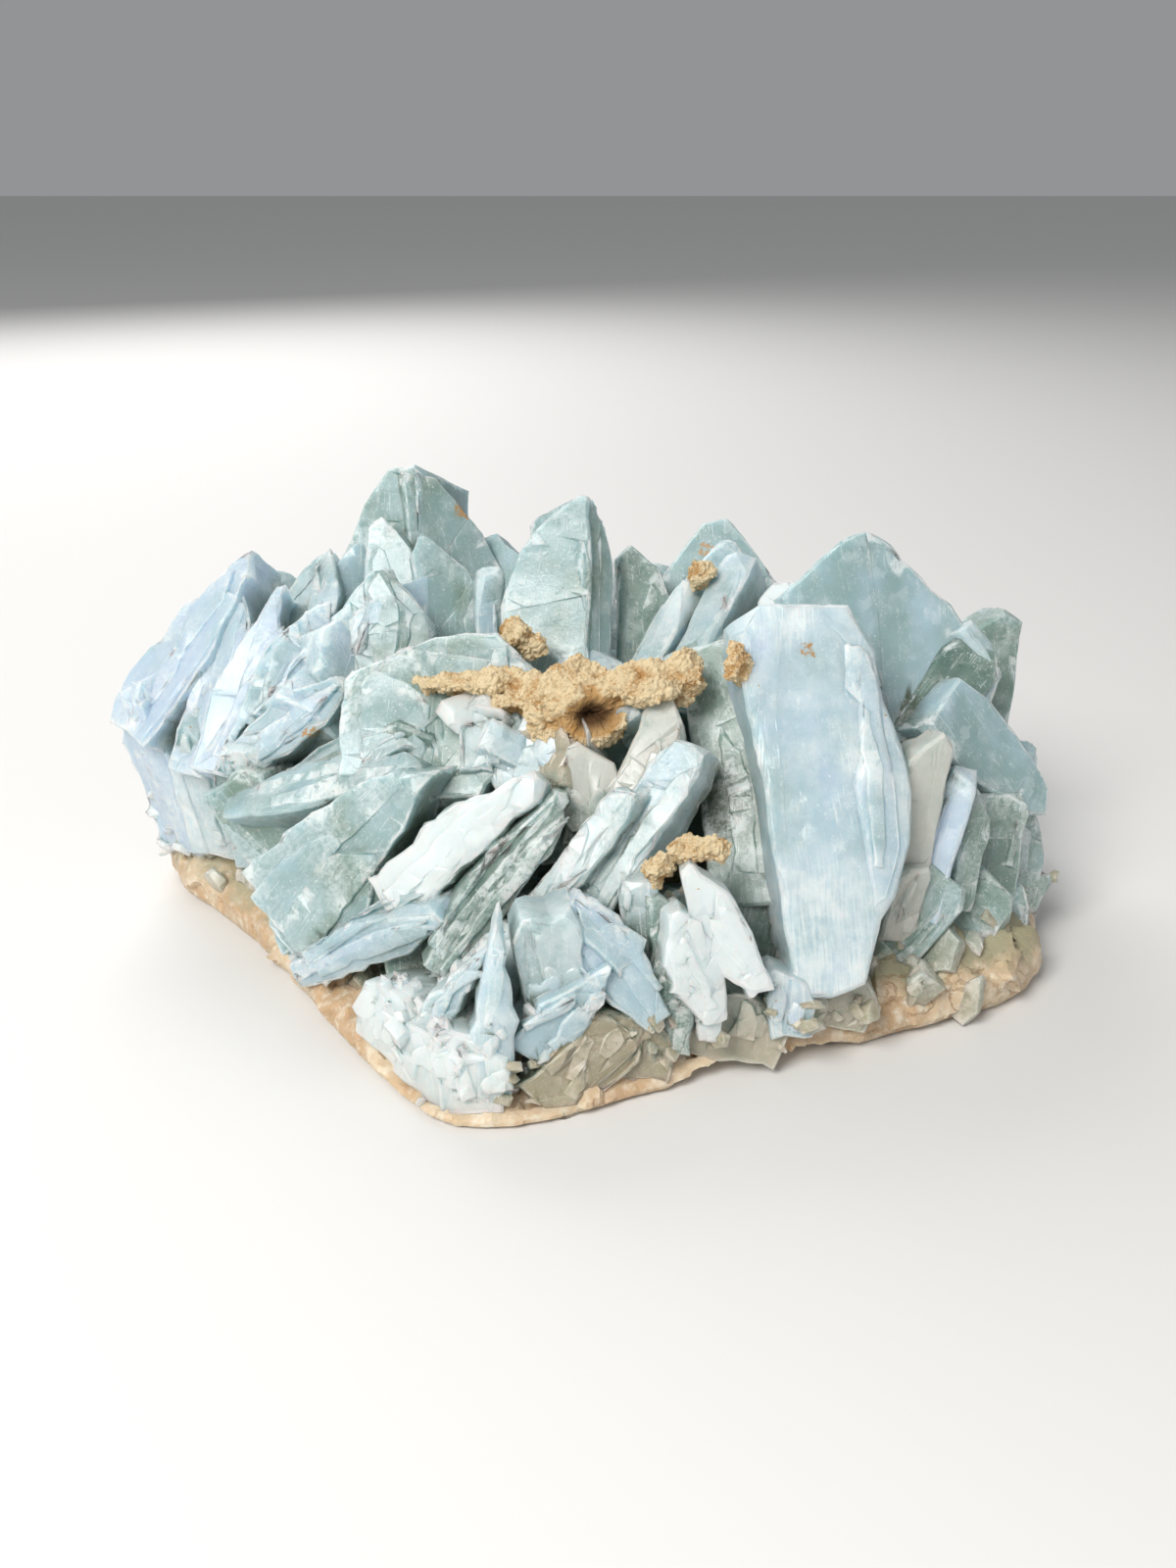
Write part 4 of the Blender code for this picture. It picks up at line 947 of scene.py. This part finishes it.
@dataclass
class CrystalCluster:
    """All the crystals, grown together in one shell."""

    name: str = "grown_barite"
    node: str = "barite_crystals"

    def build(self, finish: "BariteFinish") -> bpy.types.Object:
        """Cuts every crystal and joins them.

        Args:
            finish: The crystals' finish.

        Returns:
            The joined shell.
        """
        holder = bpy.data.collections.new("crystals")
        cutter = CrystalCutter(holder)
        count = 0
        for family in FAMILIES:
            for crystal in family.crystals:
                cutter.make(crystal, family.cut)
                blades = blades_on(crystal, family.growth) if family.growth else []
                for blade in blades:
                    cutter.make(blade, BLADE_CUT)
                count += 1 + len(blades)
        for zone in GRAIN_ZONES:
            for grain in zone.crystals():
                cutter.make(grain, GRAIN_CUT)
                count += 1
        LOG.info("%d crystals cut", count)
        return self.join(holder, finish)

    def join(self, holder: bpy.types.Collection, finish: "BariteFinish") -> bpy.types.Object:
        """Joins the crystals of a collection in one shell.

        Args:
            holder: The collection.
            finish: The crystals' finish.

        Returns:
            The shell, on the body and in place of its solid.
        """
        scene = bpy.context.scene.collection
        first = holder.objects[0]
        holder.objects.unlink(first)
        scene.objects.link(first)
        scene.children.link(holder)
        union = first.modifiers.new("Grown together", "BOOLEAN")
        union.operation = "UNION"
        union.solver = "MANIFOLD"
        union.operand_type = "COLLECTION"
        union.collection = holder
        activate(first)
        bpy.ops.object.modifier_apply(modifier=union.name)
        for spent in list(holder.objects):
            bpy.data.objects.remove(spent, do_unlink=True)
        bpy.data.collections.remove(holder)
        first.name = self.name
        LOG.info("joined: %d faces", len(first.data.polygons))
        Weatherer(Weathering()).work(first)
        dress(first, finish.material())
        return stand_for(first, self.node)


def activate(piece: bpy.types.Object) -> None:
    """Selects one piece alone and makes it active.

    Args:
        piece: The piece.
    """
    bpy.ops.object.select_all(action="DESELECT")
    piece.select_set(True)
    bpy.context.view_layer.objects.active = piece


def keep_inside(piece: bpy.types.Object) -> None:
    """Presses the few points of a piece that reach past the solids' box back to it.

    Args:
        piece: The piece.
    """
    mesh = piece.data
    points = np.empty(len(mesh.vertices) * 3, np.float32)
    mesh.vertices.foreach_get("co", points)
    low, high = (np.array(corner, np.float32) for corner in SOLID_BOX)
    points = np.clip(points.reshape(-1, 3), low, high)
    mesh.vertices.foreach_set("co", points.ravel())
    mesh.update()


def dress(piece: bpy.types.Object, material: bpy.types.Material) -> None:
    """Gives a piece one material.

    Args:
        piece: The piece.
        material: Its material.
    """
    piece.data.materials.clear()
    piece.data.materials.append(material)


def stand_for(piece: bpy.types.Object, node: str) -> bpy.types.Object:
    """Puts a piece on the body, in place of a solid.

    Args:
        piece: The piece.
        node: The solid that it replaces.

    Returns:
        The piece.
    """
    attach(piece, "root")
    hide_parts(node)
    LOG.info("%s: %d faces", piece.name, len(piece.data.polygons))
    return piece


def copy_of_solid(node: str, name: str, voxel: float, lumps: tuple["Egg", ...] = ()) -> bpy.types.Object:
    """A finely meshed copy of a solid.

    Args:
        node: The solid.
        name: The copy's name.
        voxel: The size of its faces, in millimetres.
        lumps: What is added to it.

    Returns:
        The copy.
    """
    piece = bpy.data.objects.new(name, frame["nodes"][node].data.copy())
    bpy.context.scene.collection.objects.link(piece)
    activate(piece)
    bpy.ops.object.mode_set(mode="EDIT")
    bpy.ops.mesh.select_all(action="SELECT")
    bpy.ops.mesh.remove_doubles(threshold=WELD)
    for lump in lumps:
        at = Vector(lump.middle) * MM
        bpy.ops.mesh.select_all(action="DESELECT")
        bpy.ops.mesh.primitive_ico_sphere_add(subdivisions=3, radius=MM, location=at)
        bpy.ops.transform.resize(value=lump.half, center_override=at)
    bpy.ops.object.mode_set(mode="OBJECT")
    remesh = piece.modifiers.new("Even faces", "REMESH")
    remesh.mode = "VOXEL"
    remesh.voxel_size = voxel * MM
    bpy.ops.object.modifier_apply(modifier=remesh.name)
    return piece


@dataclass
class BaseRock:
    """The cream base rock, with broken faces and cracks, flat underneath."""

    name: str = "base_rock"
    node: str = "cream_matrix"
    voxel: float = 0.9
    lump: float = 8.0
    lump_height: float = 1.0
    chip: float = 6.0
    chip_height: float = 3.4
    flat: float = 0.5

    def relief(self, point: Vector) -> float:
        """How far the surface stands out at a point.

        Args:
            point: The point, in millimetres.

        Returns:
            The height in millimetres.
        """
        swell = noise.noise(point / self.lump) * self.lump_height
        bent = point / self.chip + noise.noise_vector(point / 9) * 0.25
        middle = noise.voronoi(bent)[1][0]
        facet = (bent - middle).dot(noise.noise_vector(middle * 5.3)) * self.chip_height
        return swell + facet - 0.5 + 0.15 * noise.noise(point / 2)

    def build(self, finish: "RockFinish") -> bpy.types.Object:
        """Makes the rock from its solid.

        Args:
            finish: The rock's finish.

        Returns:
            The rock.
        """
        rock = copy_of_solid(self.node, self.name, self.voxel)
        normals = [vertex.normal.copy() for vertex in rock.data.vertices]
        for vertex, normal in zip(rock.data.vertices, normals):
            height = vertex.co.z / MM
            if height < self.flat:
                vertex.co.z = max(vertex.co.z, 0)
                continue
            share = min(1, (height - self.flat) / 2.5)
            vertex.co += normal * self.relief(vertex.co / MM) * share * MM
        keep_inside(rock)
        activate(rock)
        bpy.ops.object.shade_smooth_by_angle(angle=0.5)
        dress(rock, finish.material())
        return stand_for(rock, self.node)


@dataclass(frozen=True)
class Egg:
    """An egg-shaped region of a crust: its middle and its half sizes, in millimetres."""

    middle: Point
    half: Point

    def share(self, point: Vector) -> float:
        """How deep a point lies in the region, from 0 outside it to 1 in its middle."""
        off = [(at - middle) / half for at, middle, half in zip(point, self.middle, self.half)]
        return max(0.0, 1 - Vector(off).length)


@dataclass
class OchreCrust:
    """A crumbly ochre crust that lies on the crystals."""

    node: str
    pits: tuple[Egg, ...] = ()
    thin: tuple[Egg, ...] = ()
    lumps: tuple[Egg, ...] = ()
    voxel: float = 0.33
    crumb: float = 0.9
    crumb_height: float = 0.5
    lump: float = 3.0
    lump_height: float = 1.2

    def relief(self, point: Vector) -> float:
        """How far the crust stands out at a point.

        Args:
            point: The point, in millimetres.

        Returns:
            The height in millimetres.
        """
        near, far = noise.voronoi(point / self.crumb)[0][:2]
        crumbs = (min(1.0, (far - near) / 0.5) - 0.35) * self.crumb_height
        swell = noise.noise(point / self.lump) + 0.4 * noise.noise(point / 1.4)
        return swell * self.lump_height + crumbs + 0.25 * noise.noise(point / 0.5)

    def build(self, finish: "CrustFinish") -> bpy.types.Object:
        """Makes the crust from its solid.

        Args:
            finish: The crusts' finish.

        Returns:
            The crust.
        """
        name = self.node.replace("ochre_crust", "sandy_crust")
        crust = copy_of_solid(self.node, name, self.voxel, self.lumps)
        depths, normals = [], [vertex.normal.copy() for vertex in crust.data.vertices]
        for vertex, normal in zip(crust.data.vertices, normals):
            point = vertex.co / MM
            pit = max((pit.share(point) for pit in self.pits), default=0.0)
            thin = max((part.share(point) for part in self.thin), default=0.0)
            height = self.relief(point)
            vertex.co = (point + normal * (height - 8 * pit - min(1.0, 3 * thin))) * MM
            # The depth note is highest in the pits and where the relief is low; the finish paints shade from it
            depths.append(pit * 2.2 + 0.12 - height * 0.25)
        crust.data.attributes.new("depth", "FLOAT", "POINT").data.foreach_set("value", depths)
        dress(crust, finish.material())
        return stand_for(crust, self.node)


CRUSTS = (
    OchreCrust(
        "ochre_crust_main",
        (Egg((1.5, -30.5, 46), (5.5, 6.5, 3.8)),),
        (Egg((-20, -19, 50), (7, 7, 4)),),
        (
            Egg((-0.7, -24, 45.5), (7, 6.5, 5.8)),
            Egg((-6, -23, 44.5), (4.5, 5.5, 5)),
            Egg((8.3, -24, 49.5), (6, 5, 3)),
            Egg((-17, -20, 48.6), (9, 4, 1.8)),
        ),
    ),
    OchreCrust("ochre_crust_ledge"),
    OchreCrust("ochre_crust_plate"),
    OchreCrust("ochre_crust_hollow"),
    OchreCrust("ochre_crust_ridge"),
)


def surface_of(piece: bpy.types.Object) -> BVHTree:
    """The surface of a piece, for finding what is nearest to a point."""
    mesh = piece.data
    return BVHTree.FromPolygons([v.co for v in mesh.vertices], [tuple(f.vertices) for f in mesh.polygons])


class Value:
    """A number on its way through a material, which Python's signs work on."""

    def __init__(self, shader: "Shader", socket: bpy.types.NodeSocket) -> None:
        """Keeps the material and the socket.

        Args:
            shader: The material that the number belongs to.
            socket: The socket that it comes out of.
        """
        self.shader = shader
        self.socket = socket

    def _math(self, operation: str, first: Any, second: Any = None) -> "Value":
        """A Math node on one or two numbers."""
        return self.shader.node("ShaderNodeMath", {"operation": operation}, {0: first, 1: second})

    def __add__(self, other: Any) -> "Value":
        """The sum."""
        return self._math("ADD", self, other)

    def __radd__(self, other: Any) -> "Value":
        """The sum, the other way round."""
        return self._math("ADD", other, self)

    def __sub__(self, other: Any) -> "Value":
        """The difference."""
        return self._math("SUBTRACT", self, other)

    def __rsub__(self, other: Any) -> "Value":
        """The difference, the other way round."""
        return self._math("SUBTRACT", other, self)

    def __mul__(self, other: Any) -> "Value":
        """The product."""
        return self._math("MULTIPLY", self, other)

    def __rmul__(self, other: Any) -> "Value":
        """The product, the other way round."""
        return self._math("MULTIPLY", other, self)

    def most(self, other: Any) -> "Value":
        """The larger of two."""
        return self._math("MAXIMUM", self, other)

    def between(self, low: float, high: float, first: float = 0.0, last: float = 1.0) -> "Value":
        """Turns a range into another one, smoothly and held at its ends.

        Args:
            low: The range's start.
            high: The range's end.
            first: What the start becomes.
            last: What the end becomes.

        Returns:
            The new number.
        """
        settings = {"interpolation_type": "SMOOTHSTEP"}
        values = {"Value": self, "From Min": low, "From Max": high, "To Min": first, "To Max": last}
        return self.shader.node("ShaderNodeMapRange", settings, values)


class Shader:
    """A material that is written as expressions."""

    def __init__(self, name: str) -> None:
        """Makes the material.

        Args:
            name: The material's name.
        """
        self.material = bpy.data.materials.new(name)
        self.material.use_nodes = True
        self.tree = self.material.node_tree
        self.surface = self.tree.nodes["Principled BSDF"]

    def node(self, kind: str, settings: dict[str, Any], values: dict[Any, Any], out: Any = 0) -> Value:
        """Adds a node.

        Args:
            kind: The node's type.
            settings: What is set on the node itself, first.
            values: What its sockets hold or are linked to.
            out: The socket that the result comes out of.

        Returns:
            The result.
        """
        made = self.tree.nodes.new(kind)
        for name, value in settings.items():
            setattr(made, name, value)
        for name, value in values.items():
            self.feed(made.inputs[name], value)
        return Value(self, made.outputs[out])

    def feed(self, socket: bpy.types.NodeSocket, value: Any) -> None:
        """Sets a socket, or links it.

        Args:
            socket: The socket.
            value: A number, a colour or a Value. None leaves the socket as it is.
        """
        if isinstance(value, Value):
            self.tree.links.new(value.socket, socket)
        elif value is not None:
            socket.default_value = value

    def noted(self, name: str) -> Value:
        """What is noted on the mesh, as a vector."""
        return self.node("ShaderNodeAttribute", {"attribute_name": name}, {}, "Vector")

    def noted_number(self, name: str) -> Value:
        """What is noted on the mesh, as a number."""
        return self.node("ShaderNodeAttribute", {"attribute_name": name}, {}, "Fac")

    def part(self, vector: Value, axis: str) -> Value:
        """One of a vector's three numbers."""
        return self.node("ShaderNodeSeparateXYZ", {}, {0: vector}, axis)

    def place(self) -> Value:
        """The place on the specimen, in millimetres."""
        place = self.node("ShaderNodeTexCoord", {}, {}, "Object")
        return self.stretched(place, (1 / MM, 1 / MM, 1 / MM))

    def stretched(self, vector: Value, by: Point) -> Value:
        """A vector times another one.

        Args:
            vector: The vector.
            by: What each of its numbers is multiplied by.

        Returns:
            The product.
        """
        return self.node("ShaderNodeVectorMath", {"operation": "MULTIPLY"}, {0: vector, 1: by})

    def cloud(self, vector: Value, scale: float, detail: float = 3.0, rough: float = 0.5) -> Value:
        """Soft noise from 0 to 1.

        Args:
            vector: Where it is read.
            scale: How many of its lumps fit in a unit.
            detail: How many finer layers it has.
            rough: How strong the finer layers are.

        Returns:
            The noise.
        """
        values = {"Vector": vector, "Scale": scale, "Detail": detail, "Roughness": rough}
        return self.node("ShaderNodeTexNoise", {}, values, 0)

    def cells(self, vector: Value, scale: float, feature: str = "F1") -> Value:
        """The distance in a pattern of cells.

        Args:
            vector: Where it is read.
            scale: How many cells fit in a unit.
            feature: Which distance.

        Returns:
            The distance.
        """
        values = {"Vector": vector, "Scale": scale}
        return self.node("ShaderNodeTexVoronoi", {"feature": feature}, values, "Distance")

    def flakes(self, vector: Value) -> tuple[Value, Value]:
        """Flakes that each tilt their own way.

        Args:
            vector: Where they are read, one flake to a unit.

        Returns:
            Their height, and a number from 0 to 1 that each has for itself.
        """
        made = self.tree.nodes.new("ShaderNodeTexVoronoi")
        self.feed(made.inputs["Vector"], vector)
        self.feed(made.inputs["Scale"], 1.0)
        own, middle = Value(self, made.outputs["Color"]), Value(self, made.outputs["Position"])
        way = self.node("ShaderNodeVectorMath", {"operation": "SUBTRACT"}, {0: vector, 1: middle})
        tilt = self.node("ShaderNodeVectorMath", {"operation": "SUBTRACT"}, {0: own, 1: (0.5, 0.5, 0.5)})
        height = self.node("ShaderNodeVectorMath", {"operation": "DOT_PRODUCT"}, {0: way, 1: tilt}, "Value")
        return height, self.part(own, "X")

    def near(self, vector: Value, middle: Point, reach: float) -> Value:
        """How near a place is to a point, from 0 at its reach to 1.

        Args:
            vector: The place.
            middle: The point.
            reach: How far it counts.

        Returns:
            The nearness.
        """
        settings = {"operation": "DISTANCE"}
        far = self.node("ShaderNodeVectorMath", settings, {0: vector, 1: middle}, "Value")
        return far.between(reach, reach * 0.4)

    def mix(self, share: Any, first: Any, second: Any) -> Value:
        """A mix of two colours.

        Args:
            share: How much there is of the second.
            first: The first colour.
            second: The second colour.

        Returns:
            The mixed colour.
        """
        made = self.tree.nodes.new("ShaderNodeMix")
        made.data_type = "RGBA"
        self.feed(made.inputs[0], share)
        self.feed(made.inputs[6], first)
        self.feed(made.inputs[7], second)
        return Value(self, made.outputs[2])

    def bump(self, height: Value, strength: float, distance: float) -> Value:
        """A normal that a height tilts.

        Args:
            height: The height.
            strength: How strongly it tilts.
            distance: What a height of 1 stands for, in metres.

        Returns:
            The normal.
        """
        return self.node("ShaderNodeBump", {}, {"Strength": strength, "Distance": distance, "Height": height})

    def finish(self, **sockets: Any) -> bpy.types.Material:
        """Sets the surface's sockets.

        Args:
            sockets: A value for each socket, with _ for a space.

        Returns:
            The material.
        """
        for name, value in sockets.items():
            self.feed(self.surface.inputs[name.replace("_", " ")], value)
        return self.material


def colour(red: float, green: float, blue: float) -> tuple[float, float, float, float]:
    """A colour for a socket."""
    return red, green, blue, 1.0


@dataclass(frozen=True)
class BariteFinish:
    """Translucent blue barite: its colours from lavender to teal, its milky and frosted parts and its grain, with
    painted shade in its crevices and hollows.
    """

    lavender: tuple = colour(0.5, 0.62, 0.74)
    sky: tuple = colour(0.42, 0.57, 0.63)
    aqua: tuple = colour(0.3, 0.44, 0.44)
    green: tuple = colour(0.2, 0.3, 0.25)
    teal: tuple = colour(0.08, 0.16, 0.13)
    # The next two colours are painted shade, darkening the crevices between the crystals
    gap: tuple = colour(0.19, 0.29, 0.25)
    crevice_shade: tuple = colour(0.06, 0.1, 0.06)
    white: tuple = colour(0.82, 0.87, 0.86)
    ivory: tuple = colour(0.66, 0.6, 0.48)
    cream: tuple = colour(0.4, 0.33, 0.2)
    ochre: tuple = colour(0.5, 0.26, 0.06)
    # A near-black green, painted as shade in the hollows listed below
    hollow_shade: tuple = colour(0.05, 0.075, 0.03)
    spots: tuple = (
        ((32.2, -23.3, 54.4), 2.2), ((-43.2, -14.4, 36.8), 3.0), ((-21.7, 27.5, 63.5), 3.4), ((20.7, 24.8, 56.7), 2.4),
    )
    veils: tuple = (((31.9, -47, 19), 17.0), ((39.7, -32.1, 40.7), 4.5), ((29, -21, 59), 7.0))
    # Hollows where shade is painted in: a middle and a reach, in millimetres
    shaded_hollows: tuple = (((16.9, -28, 30.1), 12.0), ((51.5, -12, 42.1), 7.0))
    depth: float = 0.0035
    root_low: float = 3.0
    root_high: float = 17.0

    def material(self) -> bpy.types.Material:
        """Makes the material."""
        shader = Shader("blue_barite")
        place, grain = shader.place(), shader.noted("grain")
        habit, frost = shader.noted("habit"), shader.noted_number("frost")
        worn, shut = shader.noted_number("worn"), shader.noted_number("crevice_shade")
        hue, milk, warm = (shader.part(habit, axis) for axis in "XYZ")
        drift = shader.cloud(place, 0.06, 3.0, 0.6) - 0.5
        streaks = shader.cloud(shader.stretched(grain, (0.16, 0.05, 0.16)), 1.0, 2.0, 0.5)
        threads = shader.cloud(shader.stretched(grain, (3.4, 0.22, 3.4)), 1.0, 2.0, 0.5)
        mist = shader.cloud(place, 0.28, 5.0, 0.7)
        rim = shader.noted_number("rim")
        flecks, dust = shader.cloud(place, 1.1, 5.0, 0.75), shader.cloud(place, 2.6, 3.0, 0.8)
        shade = hue + drift * 1.0 + (streaks - 0.5) * 0.5
        body = shader.mix(shade.between(0.0, 0.3), self.lavender, self.sky)
        body = shader.mix(shade.between(0.25, 0.55), body, self.aqua)
        body = shader.mix(shade.between(0.55, 0.8), body, self.green)
        body = shader.mix(shade.between(0.8, 1.15), body, self.teal)
        height = shader.part(place, "Z")
        roots = height.between(self.root_high, self.root_low)
        clouded = milk + (shader.cloud(place, 0.16, 5.0, 0.65) - 0.5) * 1.3
        tan = (warm + roots * 0.3).between(0.2, 1.0)
        pale = shader.mix(tan, self.white, self.ivory)
        body = shader.mix(clouded.between(0.1, 1.0, 0.0, 0.85), body, self.white)
        for middle, reach in self.veils:
            share = shader.near(place, middle, reach) * (mist * 0.6 + threads * 0.4).between(0.35, 0.6)
            body = shader.mix(share * 0.7, body, self.white)
        body = shader.mix(tan * 0.8, body, self.cream)
        # Painted shade: deep green in the crevices that the rays found, near black where they are most shut in
        body = shader.mix(shut.between(0.12, 0.5) * 0.55, body, self.gap)
        body = shader.mix(shut.between(0.45, 0.8) * 0.8, body, self.crevice_shade)
        # Painted shade: the listed hollows turn near black where they are shut in
        for middle, reach in self.shaded_hollows:
            share = shader.near(place, middle, reach) * shut.between(0.02, 0.18)
            body = shader.mix(share * 0.95, body, self.hollow_shade)
        body = shader.mix((mist - 0.5).between(0.0, 0.25) * 0.25, body, pale)
        body = shader.mix(rim.between(0.3, 1.0) * flecks.between(0.38, 0.58) * 0.8, body, pale)
        chipped = worn.between(0.05, 0.4)
        rime = (frost * 0.35 + chipped) * shader.cloud(place, 0.8, 4.0, 0.7).between(0.3, 0.55)
        body = shader.mix(rime.between(0.1, 1.0) * 0.75, body, pale)
        frosty = (mist + rim * 0.15).between(0.42, 0.62)
        specks = (flecks.between(0.62, 0.7) * 0.7).most(dust.between(0.58, 0.66) * frosty * 0.8)
        scratches = threads.between(0.6, 0.68) * frosty
        body = shader.mix(specks.most(scratches * 0.45), body, pale)
        broken = shader.cloud(place, 0.22, 3.0, 0.6).between(0.47, 0.62)
        wavy = shader.node("ShaderNodeVectorMath", {"operation": "MULTIPLY_ADD"}, {
            0: shader.cloud(place, 0.6, 3.0, 0.7), 1: (1.2, 1.2, 1.2), 2: shader.stretched(place, (0.42, 0.42, 0.42)),
        })
        flakes, tone = shader.flakes(wavy)
        body = shader.mix(tone.between(0.5, 1.0) * (0.03 + broken * 0.22), body, pale)
        patch = shader.cloud(place, 0.55, 4.0, 0.6)
        stains = patch.between(0.735, 0.76)
        for middle, reach in self.spots:
            stains = stains.most((shader.near(place, middle, reach) + (flecks - 0.5) * 3.5).between(0.85, 1.05))
        body = shader.mix(stains * 0.9, body, self.ochre)
        relief = scratches * 0.06 + flecks * 0.2 + dust * 0.08 + flakes * (0.08 + broken * 0.8)
        return shader.finish(
            Base_Color=body,
            Roughness=0.34 + rime * 0.25 + specks * 0.2,
            Normal=shader.bump(relief, 0.45, 0.0005),
            Transmission_Weight=0.2,
            Subsurface_Weight=0.9,
            Subsurface_Radius=(0.6, 0.9, 1.0),
            Subsurface_Scale=self.depth,
            IOR=1.64,
        )


@dataclass(frozen=True)
class RockFinish:
    """The cream base rock."""

    cream: tuple = colour(0.6, 0.47, 0.32)
    peach: tuple = colour(0.5, 0.34, 0.2)
    pale: tuple = colour(0.72, 0.64, 0.51)
    stain: tuple = colour(0.28, 0.17, 0.08)
    clear: tuple = colour(0.34, 0.31, 0.2)
    clear_low: float = 5.5
    clear_high: float = 9.5

    def material(self) -> bpy.types.Material:
        """Makes the material."""
        shader = Shader("cream_rock")
        place = shader.place()
        broad, fine = shader.cloud(place, 0.07, 4.0, 0.6), shader.cloud(place, 0.5, 5.0, 0.65)
        body = shader.mix(broad.between(0.38, 0.62), self.cream, self.peach)
        body = shader.mix(fine.between(0.42, 0.75), body, self.pale)
        high = shader.part(place, "Z") + (shader.cloud(place, 0.15, 4.0, 0.6) - 0.5) * 12
        body = shader.mix(high.between(self.clear_low, self.clear_high), body, self.clear)
        veins = shader.cloud(place, 0.13, 4.0, 0.6) - 0.5
        cracks = (veins * veins).between(0.0006, 0.0) * shader.cloud(place, 0.05, 2.0).between(0.5, 0.65)
        stained = shader.cloud(place, 0.3, 4.0, 0.7).between(0.62, 0.76)
        body = shader.mix((cracks * 0.6).most(stained * 0.4), body, self.stain)
        return shader.finish(
            Base_Color=body,
            Roughness=0.35 + fine * 0.3,
            Normal=shader.bump(fine - cracks * 0.6, 0.5, 0.0008),
            Subsurface_Weight=0.4,
            Subsurface_Radius=(1.0, 0.6, 0.35),
            Subsurface_Scale=0.003,
        )


@dataclass(frozen=True)
class CrustFinish:
    """The sandy ochre crusts, darker ochre where their relief is low, with painted shade in near-black brown in their
    deep pit.
    """

    sand: tuple = colour(0.88, 0.72, 0.46)
    ochre: tuple = colour(0.55, 0.3, 0.1)
    # A near-black brown, painted as shade in the deep pit
    pit_shade: tuple = colour(0.1, 0.05, 0.02)

    def material(self) -> bpy.types.Material:
        """Makes the material."""
        shader = Shader("ochre_crust")
        place, depth = shader.place(), shader.noted_number("depth")
        grains = shader.cloud(place, 2.6, 4.0, 0.75)
        patches = shader.cloud(place, 0.35, 3.0, 0.6)
        body = shader.mix((grains * 0.5 + patches * 0.5).between(0.36, 0.52), self.ochre, self.sand)
        body = shader.mix(depth.between(0.12, 0.32) * 0.8, body, self.ochre)
        # Painted shade: near-black brown in the deep pit
        body = shader.mix(depth.between(0.3, 0.9) * 0.97, body, self.pit_shade)
        return shader.finish(
            Base_Color=body, Roughness=0.9, Normal=shader.bump(grains, 0.9, 0.0007), Specular_IOR_Level=0.2
        )


@dataclass
class Studio:
    """The pale floor, the soft lights and the camera at the photograph's angle."""

    camera_at: Point = (0.0, -0.228, 0.124)
    pitch: float = 24.0
    lens: float = 33.75
    floor_size: float = 6.0

    def floor(self) -> None:
        """Lays the floor."""
        bpy.ops.object.select_all(action="DESELECT")
        bpy.ops.mesh.primitive_plane_add(size=self.floor_size, location=(0, 0, 0))
        floor = bpy.context.object
        floor.name = "floor"
        shader = Shader("pale_floor")
        dress(floor, shader.finish(Base_Color=colour(0.7, 0.69, 0.67), Roughness=0.7))

    def lamp(self, name: str, at: Point, size: float, power: float, tone: Point) -> None:
        """Hangs a soft lamp that looks at the specimen.

        Args:
            name: Its name.
            at: Its place in metres.
            size: Its width in metres.
            power: Its power in watts.
            tone: Its colour.
        """
        light = bpy.data.lights.new(name, "AREA")
        light.size, light.energy, light.color = size, power, tone
        lamp = bpy.data.objects.new(name, light)
        lamp.location = at
        lamp.rotation_euler = (Vector((0, 0, 0.03)) - Vector(at)).to_track_quat("-Z", "Y").to_euler()
        bpy.context.scene.collection.objects.link(lamp)

    def build(self) -> None:
        """Sets up the studio."""
        self.floor()
        self.lamp("window", (-0.3, -0.5, 0.56), 0.35, 6.7, (1.0, 0.99, 0.97))
        self.lamp("fill", (0.6, -0.6, 0.4), 0.8, 1.0, (0.97, 0.98, 1.0))
        self.lamp("back", (-0.3, 0.65, 0.5), 0.6, 4.5, (1.0, 1.0, 1.0))
        world = bpy.data.worlds.new("room")
        world.use_nodes = True
        world.node_tree.nodes["Background"].inputs["Color"].default_value = colour(0.85, 0.87, 0.9)
        world.node_tree.nodes["Background"].inputs["Strength"].default_value = 0.34
        bpy.context.scene.world = world
        view = bpy.data.cameras.new("camera")
        view.lens, view.sensor_width = self.lens, 36.0
        camera = bpy.data.objects.new("camera", view)
        camera.location = self.camera_at
        camera.rotation_euler = (math.radians(90 - self.pitch), 0, 0)
        bpy.context.scene.collection.objects.link(camera)
        bpy.context.scene.camera = camera
        bpy.context.scene.view_settings.view_transform = "Standard"


def main() -> None:
    """Builds the specimen and the studio."""
    logging.basicConfig(level=logging.INFO, format="%(message)s")
    noise.seed_set(NOISE_SEED)
    CrystalCluster().build(BariteFinish())
    BaseRock().build(RockFinish())
    crust_finish = CrustFinish()
    for crust in CRUSTS:
        crust.build(crust_finish)
    Studio().build()


if __name__ == "__main__":
    main()
